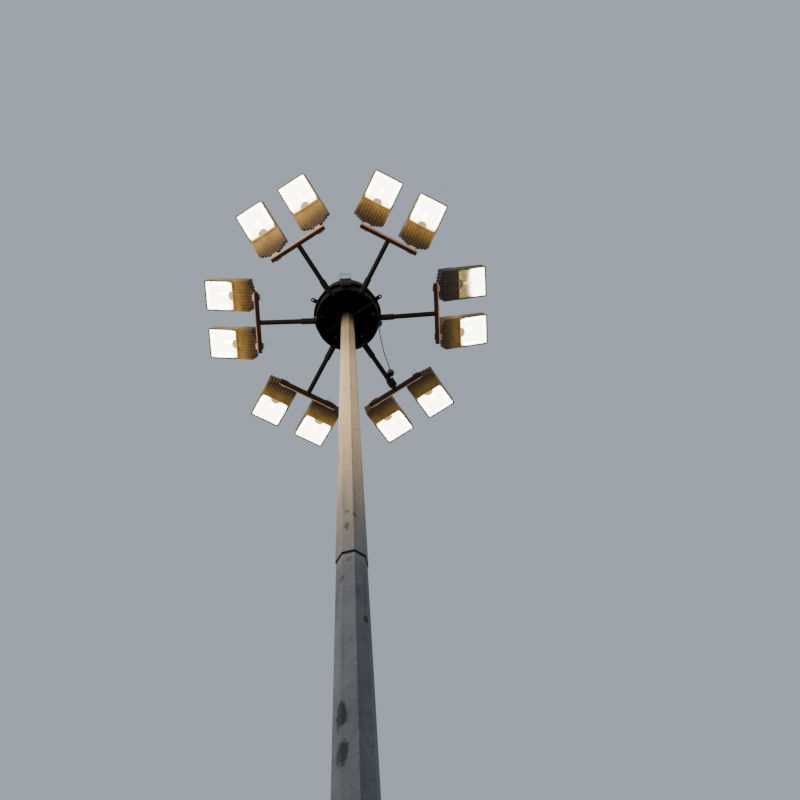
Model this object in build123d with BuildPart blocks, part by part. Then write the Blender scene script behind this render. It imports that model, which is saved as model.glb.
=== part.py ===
from build123d import *
import math
import os

# High mast floodlight tower: a tapered octagonal steel mast in two slip-jointed sections,
# with a fixed head of six arms that carries twelve floodlights, each on its own tilt pivot.
# Millimetres, Z up. The origin is the centre of the underside of the base flange.

os.makedirs("parts", exist_ok=True)

# Mast
SIDES = 8
MAST_TURN = 11.5  # plan angle of the octagon's first corner, in degrees
MAST_TOP = 20000.0
TOP_FLATS = 152.0  # width across flats at the top
TAPER = 0.0105  # width across flats gained for each unit down the mast
UPPER_WALL = 5.0
LOWER_WALL = 6.0
JOINT_HEIGHT = 11430.0  # lower edge of the upper section
JOINT_OVERLAP = 400.0
JOINT_GAP = 0.8

# Base flange
FLANGE_DIAMETER = 600.0
FLANGE_THICKNESS = 30.0
FLANGE_BORE = 240.0
BOLT_CIRCLE = 500.0
BOLT_HOLE = 36.0
GUSSET_HEIGHT = 160.0
GUSSET_THICKNESS = 12.0
GUSSET_TOE = 20.0
GUSSET_REACH = 285.0  # radius of the outer edge of each gusset

# Access door, closed
DOOR_HEIGHT = 900.0  # middle of the opening
DOOR_WIDTH = 100.0
DOOR_LENGTH = 450.0
DOOR_RADIUS = 28.0
DOOR_FRAME = 8.0
DOOR_PROUD = 6.0
DOOR_DEPTH = 18.0
DOOR_LAP = 6.0
DOOR_PLATE = 4.0
DOOR_FLAT = -3  # which flat of the octagon, counted from the first

# Head: hub, ring and canopy
HEAD_DROP = 700.0  # from the mast's top down to the ring's lower rim
RING_RADIUS = 420.0
RING_WALL = 8.0
RING_HEIGHT = 300.0
TOP_FLANGE_INSIDE = 326.0  # radius of the opening in the flange on the ring's top
TOP_FLANGE_OUTSIDE = 438.0
TOP_FLANGE_THICKNESS = 8.0
SLEEVE_WALL = 8.0
SLEEVE_GAP = 0.8
SLEEVE_LENGTH = 620.0
CAP_THICKNESS = 12.0
WEB_THICKNESS = 8.0
WEB_RISE = 40.0  # lower edge of the webs above the ring's rim
WEB_HEIGHT = 200.0
WEB_ROOT_HEIGHT = 420.0
WEB_HOLE = 110.0
WEB_HOLE_RADIUS = 247.0  # middle of the hole from the mast's axis
WEB_HOLE_RISE = 132.0
CANOPY_RIM = 260.0  # height of the canopy's rim above the ring's rim
CANOPY_RIM_RADIUS = 455.0
CANOPY_TOP = 770.0
CANOPY_TOP_RADIUS = 390.0
CANOPY_WALL = 3.0
CANOPY_ROUND = 28.0
SPOKE_REACH = 356.0
SPOKE_WIDTH = 60.0
SPOKE_THICKNESS = 10.0
STEM_DIAMETER = 90.0
STEM_WALL = 5.0
SPIDER_DISC = 190.0
WELD_GAP = 0.3  # clearance where a curved end meets a curved wall

# Arms with their crossbars
ARM_COUNT = 6
ARM_TILT = 5.0
ARM_RISE = 55.0  # height of the arm's axis above the ring's rim, at the ring's wall
ARM_DIAMETER = 63.5
ARM_WALL = 4.0
SOCKET_DIAMETER = 80.0
SOCKET_LENGTH = 200.0
SOCKET_GAP = 0.5
BAR_RADIUS = 1200.0
BAR_LENGTH = 830.0
BAR_SIZE = 65.0
BAR_WALL = 4.0
BAR_CORNER = 6.0

# Floodlight brackets and pivots
FLOOD_OFFSET = 335.0  # from the arm's axis to the middle of each floodlight
PIVOT_RISE = 130.0  # pivot above the crossbar's axis
PIVOT_RADIUS = 8.0
PIVOT_GAP = 0.4
PIVOT_HEAD = 13.0
PIVOT_HEAD_HEIGHT = 10.0
LUG_THICKNESS = 52.0
LUG_RADIUS = 25.0
EAR_GAP = 1.0
EAR_THICKNESS = 6.0
SADDLE_LENGTH = 80.0
SADDLE_WIDTH = 110.0
SADDLE_THICKNESS = 8.0
EAR_FOOT = 88.0
BOW_WIDTH = 68.0  # the bent rod that keeps the floodlight's lead off the crossbar
BOW_HEIGHT = 135.0
BOW_ROD = 10.0
BOW_BEND = 32.0
BOW_INSET = 8.0

# Floodlight
FLOOD_TILT = 20.0
FLOOD_WIDTH = 420.0
FLOOD_REACH = 735.0  # pivot to outer end
FLOOD_BACK = 35.0  # pivot to the flat of the inner end
FLOOD_SHOULDER = 105.0  # pivot to where the full width begins
BACK_WIDTH = 140.0
BACK_TOP = 55.0  # the inner end slopes from here to the top at the shoulder
GEAR_END = 312.0
UNDERSIDE = -40.0
GEAR_TOP = 130.0
OPTIC_TOP = 104.0
NOSE_TOP = 66.0
NOSE_CORNER = 24.0
FIN_COUNT = 9
FIN_PITCH = 42.0
FIN_GROOVE = 16.0
FIN_DEPTH = 10.0
UNDER_DEPTH = 4.0  # the grooves are shallow under the gear housing
FIN_END = 288.0
DOOR_RIM = 8.0
RIM_WIDTH = 16.0
GLASS_THICKNESS = 5.0
GLASS_GAP = 0.3
GLASS_CORNER = 10.0
BOWL_LEDGE = 12.0
BOWL_DEPTH = 72.0
BOWL_TAPER = 18.0
BOWL_WALL = 3.0
HOUSING_WALL = 4.0

# Junction box on the near side of the head
BOX_ANGLE = -90.0
BOX_WIDTH = 156.0
BOX_HEIGHT = 340.0
BOX_DEPTH = 85.0
BOX_RADIUS = 475.0  # back of the box from the mast's axis
BOX_RISE = 30.0
BOX_CORNER = 10.0
BOX_WALL = 2.5
BOX_LID = 6.0
BOX_LID_LAP = 4.0
STRAP_WIDTH = 110.0
STRAP_THICKNESS = 6.0
STRAP_RISES = (70.0, 200.0)

# Lifting lugs
LIFT_ANGLES = (-30.0, -150.0)
LIFT_REACH = 545.0
LIFT_WIDTH = 54.0
LIFT_THICKNESS = 12.0
LIFT_HOLE = 22.0
LIFT_RISE = 180.0

# Obstruction beacon beside one arm, and a junction box on top of it
BEACON_ARM = 1  # counted from the first arm as 0
BEACON_BACK = 225.0  # from the crossbar's axis in to the beacon's
BEACON_SIDE = 66.0  # from the arm's axis
BEACON_PLATE = 5.0
BEACON_PLATE_WIDTH = 60.0
BEACON_BASE = 66.0
BEACON_BASE_HEIGHT = 24.0
LENS_DIAMETER = 100.0
LENS_HEIGHT = 108.0
LENS_RING = 8.0
LENS_WALL = 4.0
LENS_WIDEST = 43.0  # height of the lens's widest part above its base
ARM_BOX_LENGTH = 110.0
ARM_BOX_WIDTH = 108.0
ARM_BOX_HEIGHT = 62.0
ARM_BOX_CORNER = 8.0
ARM_BOX_WALL = 5.0
ARM_BOX_GAP = 12.0  # from the box to the crossbar

# Beacon's lead, from a gland block on the ring to the beacon's base
LEAD_DIAMETER = 12.0
GLAND_ANGLE = 9.5
GLAND_BLOCK = 50.0
GLAND_DEPTH = 45.0
GLAND_RISE = 20.0
GLAND_NUT = 24.0
GLAND_NUT_LENGTH = 18.0
BASE_NUT = 21.0
BASE_NUT_LENGTH = 20.0
BASE_NUT_TURN = 259.5  # plan direction in which the base's gland points
LEAD_END_RUN = 91.0  # straight out of each gland
LEAD_MIDDLE_ROUTE = [  # from the mast's axis and the ring's lower rim
    (437.0, 302.0, 12.0),
    (449.0, 398.0, -8.0),
    (470.0, 492.0, 6.0),
    (493.0, 584.0, 62.0),
]
LEAD_ARC_SHARE = 0.45  # share of the shorter run that each bend may use

# Values worked out from the sizes above
RING_BOTTOM = MAST_TOP - HEAD_DROP
ARM_AXIS = RING_BOTTOM + ARM_RISE
BAR_AXIS = ARM_AXIS + (BAR_RADIUS - RING_RADIUS) * math.tan(math.radians(ARM_TILT))
PIVOT_HEIGHT = BAR_AXIS + PIVOT_RISE
BEACON_RADIUS = BAR_RADIUS - BEACON_BACK
ARM_ANGLES = [360.0 / ARM_COUNT * number for number in range(ARM_COUNT)]
WEB_ANGLES = [angle + 180.0 / ARM_COUNT for angle in ARM_ANGLES]


def upper_flats(height):
    """Width across flats of the upper section's outside at a height."""
    return TOP_FLATS + TAPER * (MAST_TOP - height)


def lower_flats(height):
    """Width across flats of the lower section's outside, which fits inside the upper one."""
    return upper_flats(height) - 2 * (UPPER_WALL + JOINT_GAP)


def octagon(height, flats):
    """An octagon of the mast, turned as the mast is."""
    with BuildSketch(Plane.XY.offset(height)) as profile:
        RegularPolygon(flats / 2, SIDES, major_radius=False, rotation=MAST_TURN)
    return profile.sketch


def save(part, name):
    """Label a finished piece and write it."""
    part.label = name
    export_step(part, f"parts/{name}.step")


def radial_plane(angle, radius, height):
    """A level plane with X pointing away from the mast at a plan angle."""
    turn = math.radians(angle)
    origin = (radius * math.cos(turn), radius * math.sin(turn), height)
    return Plane(origin=origin, x_dir=(math.cos(turn), math.sin(turn), 0), z_dir=(0, 0, 1))


def side_plane(angle, height=0.0):
    """An upright plane through the mast's axis: X points outwards, Y points up."""
    turn = math.radians(angle)
    outwards = (math.cos(turn), math.sin(turn), 0)
    return Plane(origin=(0, 0, height), x_dir=outwards, z_dir=(math.sin(turn), -math.cos(turn), 0))


# Base flange with its bolt holes at the octagon's corners
with BuildPart() as base_flange:
    with BuildSketch():
        Circle(FLANGE_DIAMETER / 2)
        Circle(FLANGE_BORE / 2, mode=Mode.SUBTRACT)
        with PolarLocations(BOLT_CIRCLE / 2, SIDES, start_angle=MAST_TURN):
            Circle(BOLT_HOLE / 2, mode=Mode.SUBTRACT)
    extrude(amount=FLANGE_THICKNESS)
save(base_flange.part, "base_flange")

# Gussets, one on the middle of each flat
FLAT_ANGLES = [MAST_TURN + 360.0 / SIDES * (number + 0.5) for number in range(SIDES)]
GUSSET_TOP = FLANGE_THICKNESS + GUSSET_HEIGHT
with BuildPart() as base_gussets:
    for angle in FLAT_ANGLES:
        with BuildSketch(side_plane(angle)):
            with BuildLine():
                Polyline(
                    (lower_flats(FLANGE_THICKNESS) / 2, FLANGE_THICKNESS),
                    (GUSSET_REACH, FLANGE_THICKNESS),
                    (GUSSET_REACH, FLANGE_THICKNESS + GUSSET_TOE),
                    (lower_flats(GUSSET_TOP) / 2 + GUSSET_TOE, GUSSET_TOP),
                    (lower_flats(GUSSET_TOP) / 2, GUSSET_TOP),
                    close=True,
                )
            make_face()
        extrude(amount=GUSSET_THICKNESS / 2, both=True)
save(base_gussets.part, "base_gussets")

# The flat that holds the access door leans in with the mast's taper
door_turn = math.radians(MAST_TURN + 360.0 / SIDES * (DOOR_FLAT + 0.5))
door_distance = lower_flats(DOOR_HEIGHT) / 2
door_plane = Plane(
    origin=(door_distance * math.cos(door_turn), door_distance * math.sin(door_turn), DOOR_HEIGHT),
    x_dir=(-math.sin(door_turn), math.cos(door_turn), 0),
    z_dir=(math.cos(door_turn), math.sin(door_turn), TAPER / 2),
)

# Lower section of the mast, with the door opening cut through one flat
LOWER_TOP = JOINT_HEIGHT + JOINT_OVERLAP
with BuildPart() as mast_lower_section:
    add(octagon(FLANGE_THICKNESS, lower_flats(FLANGE_THICKNESS)))
    add(octagon(LOWER_TOP, lower_flats(LOWER_TOP)))
    loft()
    add(octagon(FLANGE_THICKNESS, lower_flats(FLANGE_THICKNESS) - 2 * LOWER_WALL))
    add(octagon(LOWER_TOP, lower_flats(LOWER_TOP) - 2 * LOWER_WALL))
    loft(mode=Mode.SUBTRACT)
    with BuildSketch(door_plane.offset(DOOR_PROUD)):
        RectangleRounded(DOOR_WIDTH, DOOR_LENGTH, DOOR_RADIUS)
    extrude(amount=-DOOR_PROUD - DOOR_DEPTH, mode=Mode.SUBTRACT)
save(mast_lower_section.part, "mast_lower_section")

# Door frame welded into the opening, and its overlapping cover
with BuildPart() as door_frame:
    with BuildSketch(door_plane.offset(DOOR_PROUD)):
        RectangleRounded(DOOR_WIDTH, DOOR_LENGTH, DOOR_RADIUS)
        RectangleRounded(
            DOOR_WIDTH - 2 * DOOR_FRAME,
            DOOR_LENGTH - 2 * DOOR_FRAME,
            DOOR_RADIUS - DOOR_FRAME,
            mode=Mode.SUBTRACT,
        )
    extrude(amount=-DOOR_PROUD - DOOR_DEPTH)
save(door_frame.part, "door_frame")

with BuildPart() as door_cover:
    with BuildSketch(door_plane.offset(DOOR_PROUD)):
        RectangleRounded(DOOR_WIDTH + 2 * DOOR_LAP, DOOR_LENGTH + 2 * DOOR_LAP, DOOR_RADIUS + DOOR_LAP)
    extrude(amount=DOOR_PLATE)
    chamfer(door_cover.faces().sort_by(Axis(door_plane.origin, door_plane.z_dir))[-1].edges(), DOOR_PLATE / 4)
save(door_cover.part, "door_cover")

# Upper section of the mast, slipped over the lower one
with BuildPart() as mast_upper_section:
    add(octagon(JOINT_HEIGHT, upper_flats(JOINT_HEIGHT)))
    add(octagon(MAST_TOP, upper_flats(MAST_TOP)))
    loft()
    add(octagon(JOINT_HEIGHT, upper_flats(JOINT_HEIGHT) - 2 * UPPER_WALL))
    add(octagon(MAST_TOP, upper_flats(MAST_TOP) - 2 * UPPER_WALL))
    loft(mode=Mode.SUBTRACT)
save(mast_upper_section.part, "mast_upper_section")

# Head hub: a sleeve over the mast's top, its cap, and six webs that carry the ring
SLEEVE_BOTTOM = MAST_TOP - SLEEVE_LENGTH
RING_INSIDE = RING_RADIUS - RING_WALL
WEB_BOTTOM = RING_BOTTOM + WEB_RISE
with BuildPart() as head_hub:
    add(octagon(SLEEVE_BOTTOM, upper_flats(SLEEVE_BOTTOM) + 2 * (SLEEVE_GAP + SLEEVE_WALL)))
    add(octagon(MAST_TOP + CAP_THICKNESS, upper_flats(MAST_TOP) + 2 * (SLEEVE_GAP + SLEEVE_WALL)))
    loft()
    for angle in WEB_ANGLES:
        with BuildSketch(side_plane(angle)):
            with BuildLine():
                Polyline(
                    (TOP_FLATS / 4, SLEEVE_BOTTOM),
                    (upper_flats(SLEEVE_BOTTOM) / 2 + SLEEVE_WALL, SLEEVE_BOTTOM),
                    (RING_INSIDE - WELD_GAP, WEB_BOTTOM),
                    (RING_INSIDE - WELD_GAP, WEB_BOTTOM + WEB_HEIGHT),
                    (TOP_FLATS / 2 + SLEEVE_WALL, WEB_BOTTOM + WEB_ROOT_HEIGHT),
                    (TOP_FLATS / 4, WEB_BOTTOM + WEB_ROOT_HEIGHT),
                    close=True,
                )
            make_face()
            with Locations((WEB_HOLE_RADIUS, WEB_BOTTOM + WEB_HOLE_RISE)):
                Circle(WEB_HOLE / 2, mode=Mode.SUBTRACT)
        extrude(amount=WEB_THICKNESS / 2, both=True)
    add(octagon(SLEEVE_BOTTOM, upper_flats(SLEEVE_BOTTOM) + 2 * SLEEVE_GAP))
    add(octagon(MAST_TOP, upper_flats(MAST_TOP) + 2 * SLEEVE_GAP))
    loft(mode=Mode.SUBTRACT)
save(head_hub.part, "head_hub")

# Head ring, open below
with BuildPart() as head_ring:
    with BuildSketch(Plane.XY.offset(RING_BOTTOM)):
        Circle(RING_RADIUS)
        Circle(RING_INSIDE, mode=Mode.SUBTRACT)
    extrude(amount=RING_HEIGHT)
save(head_ring.part, "head_ring")

# Flange on the ring's top, where the canopy's bolts are seen from below
RING_TOP = RING_BOTTOM + RING_HEIGHT
with BuildPart() as ring_top_flange:
    with BuildSketch(Plane.XY.offset(RING_TOP)):
        Circle(TOP_FLANGE_OUTSIDE)
        Circle(TOP_FLANGE_INSIDE, mode=Mode.SUBTRACT)
    extrude(amount=TOP_FLANGE_THICKNESS)
save(ring_top_flange.part, "ring_top_flange")

# Canopy: a spun cover, open below and wider at its rim
CANOPY_BOTTOM = RING_BOTTOM + CANOPY_RIM
CANOPY_CROWN = RING_BOTTOM + CANOPY_TOP
with BuildPart() as canopy:
    with BuildSketch(Plane.XZ):
        with BuildLine():
            Polyline(
                (0, CANOPY_BOTTOM),
                (CANOPY_RIM_RADIUS, CANOPY_BOTTOM),
                (CANOPY_TOP_RADIUS, CANOPY_CROWN),
                (0, CANOPY_CROWN),
                close=True,
            )
        make_face()
    revolve(axis=Axis.Z)
    fillet(canopy.edges().filter_by(GeomType.CIRCLE).group_by(Axis.Z)[-1], CANOPY_ROUND)
    offset(amount=-CANOPY_WALL, openings=canopy.faces().sort_by(Axis.Z)[0])
save(canopy.part, "canopy")

# Canopy spider: a stem on the hub's cap, a disc and six spokes flat under the canopy's top
STEM_BOTTOM = MAST_TOP + CAP_THICKNESS
SPIDER_BOTTOM = CANOPY_CROWN - CANOPY_WALL - SPOKE_THICKNESS
with BuildPart() as canopy_spider:
    with BuildSketch(Plane.XY.offset(STEM_BOTTOM)):
        Circle(STEM_DIAMETER / 2)
        Circle(STEM_DIAMETER / 2 - STEM_WALL, mode=Mode.SUBTRACT)
    extrude(amount=SPIDER_BOTTOM - STEM_BOTTOM)
    with BuildSketch(Plane.XY.offset(SPIDER_BOTTOM)):
        Circle(SPIDER_DISC / 2)
        for angle in ARM_ANGLES:
            with Locations(Location((0, 0, 0), (0, 0, angle))):
                SlotOverall(2 * SPOKE_REACH, SPOKE_WIDTH)
    extrude(amount=SPOKE_THICKNESS)
save(canopy_spider.part, "canopy_spider")


# Arm: a round tube, cut to the ring's wall at one end and to the crossbar's face at the other
ARM_STUB = 2 * ARM_DIAMETER  # cut back to the ring's wall
arm_slope = math.radians(ARM_TILT)
arm_start = Plane(
    origin=(RING_RADIUS - ARM_STUB * math.cos(arm_slope), 0, ARM_AXIS - ARM_STUB * math.sin(arm_slope)),
    z_dir=(math.cos(arm_slope), 0, math.sin(arm_slope)),
)
BAR_FACE = BAR_RADIUS - BAR_SIZE / 2
with BuildPart() as arm:
    with BuildSketch(arm_start):
        Circle(ARM_DIAMETER / 2)
        Circle(ARM_DIAMETER / 2 - ARM_WALL, mode=Mode.SUBTRACT)
    extrude(amount=BAR_RADIUS)
    split(bisect_by=Plane(origin=(BAR_FACE, 0, 0), z_dir=(1, 0, 0)), keep=Keep.BOTTOM)
    with BuildSketch(Plane.XY.offset(ARM_AXIS - ARM_DIAMETER)):
        Circle(RING_RADIUS + WELD_GAP)
    extrude(amount=2 * ARM_DIAMETER, mode=Mode.SUBTRACT)
with BuildPart() as arms:
    for angle in ARM_ANGLES:
        add(arm.part.rotate(Axis.Z, angle))
save(arms.part, "arms")

# Crossbar: a square tube welded across the end of each arm
with BuildPart() as crossbar:
    with BuildSketch(Plane(origin=(BAR_RADIUS, -BAR_LENGTH / 2, BAR_AXIS), z_dir=(0, 1, 0))):
        RectangleRounded(BAR_SIZE, BAR_SIZE, BAR_CORNER)
        RectangleRounded(BAR_SIZE - 2 * BAR_WALL, BAR_SIZE - 2 * BAR_WALL, BAR_CORNER / 2, mode=Mode.SUBTRACT)
    extrude(amount=BAR_LENGTH)
with BuildPart() as crossbars:
    for angle in ARM_ANGLES:
        add(crossbar.part.rotate(Axis.Z, angle))
save(crossbars.part, "crossbars")

# Sockets welded to the ring, one round each arm
SOCKET_BORE = ARM_DIAMETER / 2 + SOCKET_GAP
with BuildPart() as socket:
    with BuildSketch(arm_start):
        Circle(SOCKET_DIAMETER / 2)
        Circle(SOCKET_BORE, mode=Mode.SUBTRACT)
    extrude(amount=ARM_STUB + SOCKET_LENGTH)
    with BuildSketch(Plane.XY.offset(ARM_AXIS - SOCKET_DIAMETER)):
        Circle(RING_RADIUS + WELD_GAP)
    extrude(amount=2 * SOCKET_DIAMETER, mode=Mode.SUBTRACT)
with BuildPart() as arm_sockets:
    for angle in ARM_ANGLES:
        add(socket.part.rotate(Axis.Z, angle))
save(arm_sockets.part, "arm_sockets")

# Floodlight bracket: a saddle on the crossbar with two ears round the pivot
BAR_TOP = BAR_AXIS + BAR_SIZE / 2
EAR_INSIDE = LUG_THICKNESS / 2 + EAR_GAP
EAR_OUTSIDE = EAR_INSIDE + EAR_THICKNESS
with BuildPart() as bracket:
    with BuildSketch(Plane((BAR_RADIUS, 0, BAR_TOP))):
        Rectangle(SADDLE_WIDTH, SADDLE_LENGTH)
    extrude(amount=SADDLE_THICKNESS)
    with BuildSketch(Plane.XZ):
        with Locations((BAR_RADIUS, PIVOT_HEIGHT)):
            Circle(LUG_RADIUS)
        with BuildLine():
            Polyline(
                (BAR_RADIUS - EAR_FOOT / 2, BAR_TOP + SADDLE_THICKNESS),
                (BAR_RADIUS + EAR_FOOT / 2, BAR_TOP + SADDLE_THICKNESS),
                (BAR_RADIUS + LUG_RADIUS, PIVOT_HEIGHT),
                (BAR_RADIUS - LUG_RADIUS, PIVOT_HEIGHT),
                close=True,
            )
        make_face()
        with Locations((BAR_RADIUS, PIVOT_HEIGHT)):
            Circle(PIVOT_RADIUS + PIVOT_GAP, mode=Mode.SUBTRACT)
    extrude(amount=EAR_OUTSIDE, both=True)
    with Locations((BAR_RADIUS, 0, (BAR_TOP + SADDLE_THICKNESS + PIVOT_HEIGHT + LUG_RADIUS) / 2)):
        Box(
            SADDLE_WIDTH,
            2 * EAR_INSIDE,
            PIVOT_HEIGHT + LUG_RADIUS - BAR_TOP - SADDLE_THICKNESS,
            mode=Mode.SUBTRACT,
        )

# Bent rod standing on the saddle, towards the mast
BOW_X = BAR_RADIUS - SADDLE_WIDTH / 2 + BOW_INSET
BOW_FOOT = BAR_TOP + SADDLE_THICKNESS
with BuildPart() as bow:
    with BuildLine(Plane(origin=(BOW_X, 0, BOW_FOOT), x_dir=(0, 1, 0), z_dir=(1, 0, 0))) as bow_path:
        FilletPolyline(
            (-BOW_WIDTH / 2, 0),
            (-BOW_WIDTH / 2, BOW_HEIGHT),
            (BOW_WIDTH / 2, BOW_HEIGHT),
            (BOW_WIDTH / 2, 0),
            radius=BOW_BEND,
        )
    with BuildSketch(Plane((BOW_X, -BOW_WIDTH / 2, BOW_FOOT))):
        Circle(BOW_ROD / 2)
    sweep(path=bow_path.line)
FLOOD_SIDES = (-FLOOD_OFFSET, FLOOD_OFFSET)
with BuildPart() as flood_brackets:
    for angle in ARM_ANGLES:
        for side in FLOOD_SIDES:
            add(bracket.part.moved(Location((0, side, 0))).rotate(Axis.Z, angle))
            add(bow.part.moved(Location((0, side, 0))).rotate(Axis.Z, angle))
save(flood_brackets.part, "flood_brackets")

# Pivot bolt with its head and nut, one through each pair of ears
with BuildPart() as pivot_bolt:
    with BuildSketch(Plane.XZ.offset(-EAR_OUTSIDE)):
        with Locations((BAR_RADIUS, PIVOT_HEIGHT)):
            RegularPolygon(PIVOT_HEAD, 6)
    extrude(amount=-PIVOT_HEAD_HEIGHT)
    with BuildSketch(Plane.XZ.offset(EAR_OUTSIDE)):
        with Locations((BAR_RADIUS, PIVOT_HEIGHT)):
            RegularPolygon(PIVOT_HEAD, 6)
    extrude(amount=PIVOT_HEAD_HEIGHT)
    with BuildSketch(Plane.XZ):
        with Locations((BAR_RADIUS, PIVOT_HEIGHT)):
            Circle(PIVOT_RADIUS)
    extrude(amount=EAR_OUTSIDE, both=True)
with BuildPart() as tilt_pivots:
    for angle in ARM_ANGLES:
        for side in FLOOD_SIDES:
            add(pivot_bolt.part.moved(Location((0, side, 0))).rotate(Axis.Z, angle))
save(tilt_pivots.part, "tilt_pivots")


def plan_outline(inset):
    """Plan of the floodlight, set in at its sides and back, below its underside."""
    half = FLOOD_WIDTH / 2 - inset
    back = BACK_WIDTH / 2 - inset / 2
    with BuildSketch(Plane.XY.offset(-GEAR_TOP)) as outline:
        with BuildLine():
            Polyline(
                (FLOOD_BACK + inset, -back),
                (FLOOD_SHOULDER + inset, -half),
                (FLOOD_REACH - inset, -half),
                (FLOOD_REACH - inset, half),
                (FLOOD_SHOULDER + inset, half),
                (FLOOD_BACK + inset, back),
                close=True,
            )
        make_face()
    return outline.sketch


def side_outline(inset, under):
    """Side view of the floodlight, set in from its skin and, by its own amount, from below."""
    with BuildSketch(Plane.XZ.offset(FLOOD_WIDTH / 2)) as outline:
        with BuildLine():
            Polyline(
                (FLOOD_BACK + inset, UNDERSIDE + under),
                (FLOOD_REACH - inset, UNDERSIDE + under),
                (FLOOD_REACH - inset, NOSE_TOP - inset),
                (GEAR_END, OPTIC_TOP - inset),
                (GEAR_END - (GEAR_TOP - OPTIC_TOP), GEAR_TOP - inset),
                (FLOOD_SHOULDER + inset / 2, GEAR_TOP - inset),
                (FLOOD_BACK + inset, BACK_TOP - inset / 2),
                close=True,
            )
        make_face()
    return outline.sketch


# Grooves that leave the cooling fins: they run under, over and behind the gear housing
with BuildPart() as fin_core:
    extrude(side_outline(FIN_DEPTH, UNDER_DEPTH), amount=-FLOOD_WIDTH)
    extrude(plan_outline(FIN_DEPTH), amount=3 * GEAR_TOP, mode=Mode.INTERSECT)
with BuildPart() as fin_grooves:
    with Locations((FIN_END / 2, 0, 0)):
        with GridLocations(FIN_END, FIN_PITCH, 1, FIN_COUNT):
            Box(FIN_END, FIN_GROOVE, 4 * GEAR_TOP)
    add(fin_core.part, mode=Mode.SUBTRACT)

# Glass and the hollow behind it
GLASS_START = GEAR_END + RIM_WIDTH
GLASS_END = FLOOD_REACH - RIM_WIDTH
GLASS_LENGTH = GLASS_END - GLASS_START
GLASS_WIDTH = FLOOD_WIDTH - 2 * RIM_WIDTH
glass_plane = Plane(((GLASS_START + GLASS_END) / 2, 0, UNDERSIDE))

# Cavities inside the casting: over the gear, and round the bowl
with BuildPart() as bowl_back:
    with BuildSketch(glass_plane):
        Rectangle(GLASS_LENGTH - 2 * (BOWL_LEDGE - BOWL_WALL), GLASS_WIDTH - 2 * (BOWL_LEDGE - BOWL_WALL))
    extrude(amount=GLASS_THICKNESS + BOWL_DEPTH + BOWL_WALL, taper=BOWL_TAPER)
with BuildPart() as optic_cavity:
    extrude(side_outline(HOUSING_WALL, HOUSING_WALL), amount=-FLOOD_WIDTH)
    extrude(plan_outline(HOUSING_WALL), amount=3 * GEAR_TOP, mode=Mode.INTERSECT)
    split(bisect_by=Plane(origin=(GEAR_END, 0, 0), z_dir=(1, 0, 0)), keep=Keep.TOP)
    split(bisect_by=glass_plane.offset(GLASS_THICKNESS + HOUSING_WALL), keep=Keep.TOP)
with BuildPart() as cavity:
    extrude(side_outline(FIN_DEPTH + HOUSING_WALL, FIN_DEPTH + HOUSING_WALL), amount=-FLOOD_WIDTH)
    extrude(plan_outline(FIN_DEPTH + HOUSING_WALL), amount=3 * GEAR_TOP, mode=Mode.INTERSECT)
    add(optic_cavity.part)
    add(bowl_back.part, mode=Mode.SUBTRACT)

# Floodlight housing: finned gear housing, optic with its bowl, door rim and pivot lug
with BuildPart() as housing:
    extrude(side_outline(0, 0), amount=-FLOOD_WIDTH)
    extrude(plan_outline(0), amount=3 * GEAR_TOP, mode=Mode.INTERSECT)
    fillet(housing.edges().filter_by(Axis.Z).group_by(Axis.X)[-1], NOSE_CORNER)
    add(fin_grooves.part, mode=Mode.SUBTRACT)
    with BuildSketch(glass_plane.offset(-DOOR_RIM)):
        RectangleRounded(FLOOD_REACH - GEAR_END, FLOOD_WIDTH, NOSE_CORNER)
    extrude(amount=DOOR_RIM)
    with BuildSketch(glass_plane.offset(-DOOR_RIM)):
        RectangleRounded(GLASS_LENGTH, GLASS_WIDTH, GLASS_CORNER)
    extrude(amount=DOOR_RIM + GLASS_THICKNESS, mode=Mode.SUBTRACT)
    with BuildSketch(glass_plane.offset(GLASS_THICKNESS)):
        Rectangle(GLASS_LENGTH - 2 * BOWL_LEDGE, GLASS_WIDTH - 2 * BOWL_LEDGE)
    extrude(amount=BOWL_DEPTH, taper=BOWL_TAPER, mode=Mode.SUBTRACT)
    with BuildSketch(Plane.XZ):
        Circle(LUG_RADIUS)
        with Locations((FLOOD_BACK, 0)):
            Rectangle(2 * FLOOD_BACK, 2 * LUG_RADIUS)
    extrude(amount=LUG_THICKNESS / 2, both=True)
    with BuildSketch(Plane.XZ):
        Circle(PIVOT_RADIUS + PIVOT_GAP)
    extrude(amount=LUG_THICKNESS, both=True, mode=Mode.SUBTRACT)
    add(cavity.part, mode=Mode.SUBTRACT)

with BuildPart() as glass:
    with BuildSketch(glass_plane):
        RectangleRounded(GLASS_LENGTH - 2 * GLASS_GAP, GLASS_WIDTH - 2 * GLASS_GAP, GLASS_CORNER)
    extrude(amount=GLASS_THICKNESS)

flood_number = 0
for angle in ARM_ANGLES:
    for side in FLOOD_SIDES:
        flood_number += 1
        station = Location((BAR_RADIUS, side, PIVOT_HEIGHT), (0, -FLOOD_TILT, 0))
        save(housing.part.moved(station).rotate(Axis.Z, angle), f"flood_housing_{flood_number}")
        save(glass.part.moved(station).rotate(Axis.Z, angle), f"flood_glass_{flood_number}")

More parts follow.
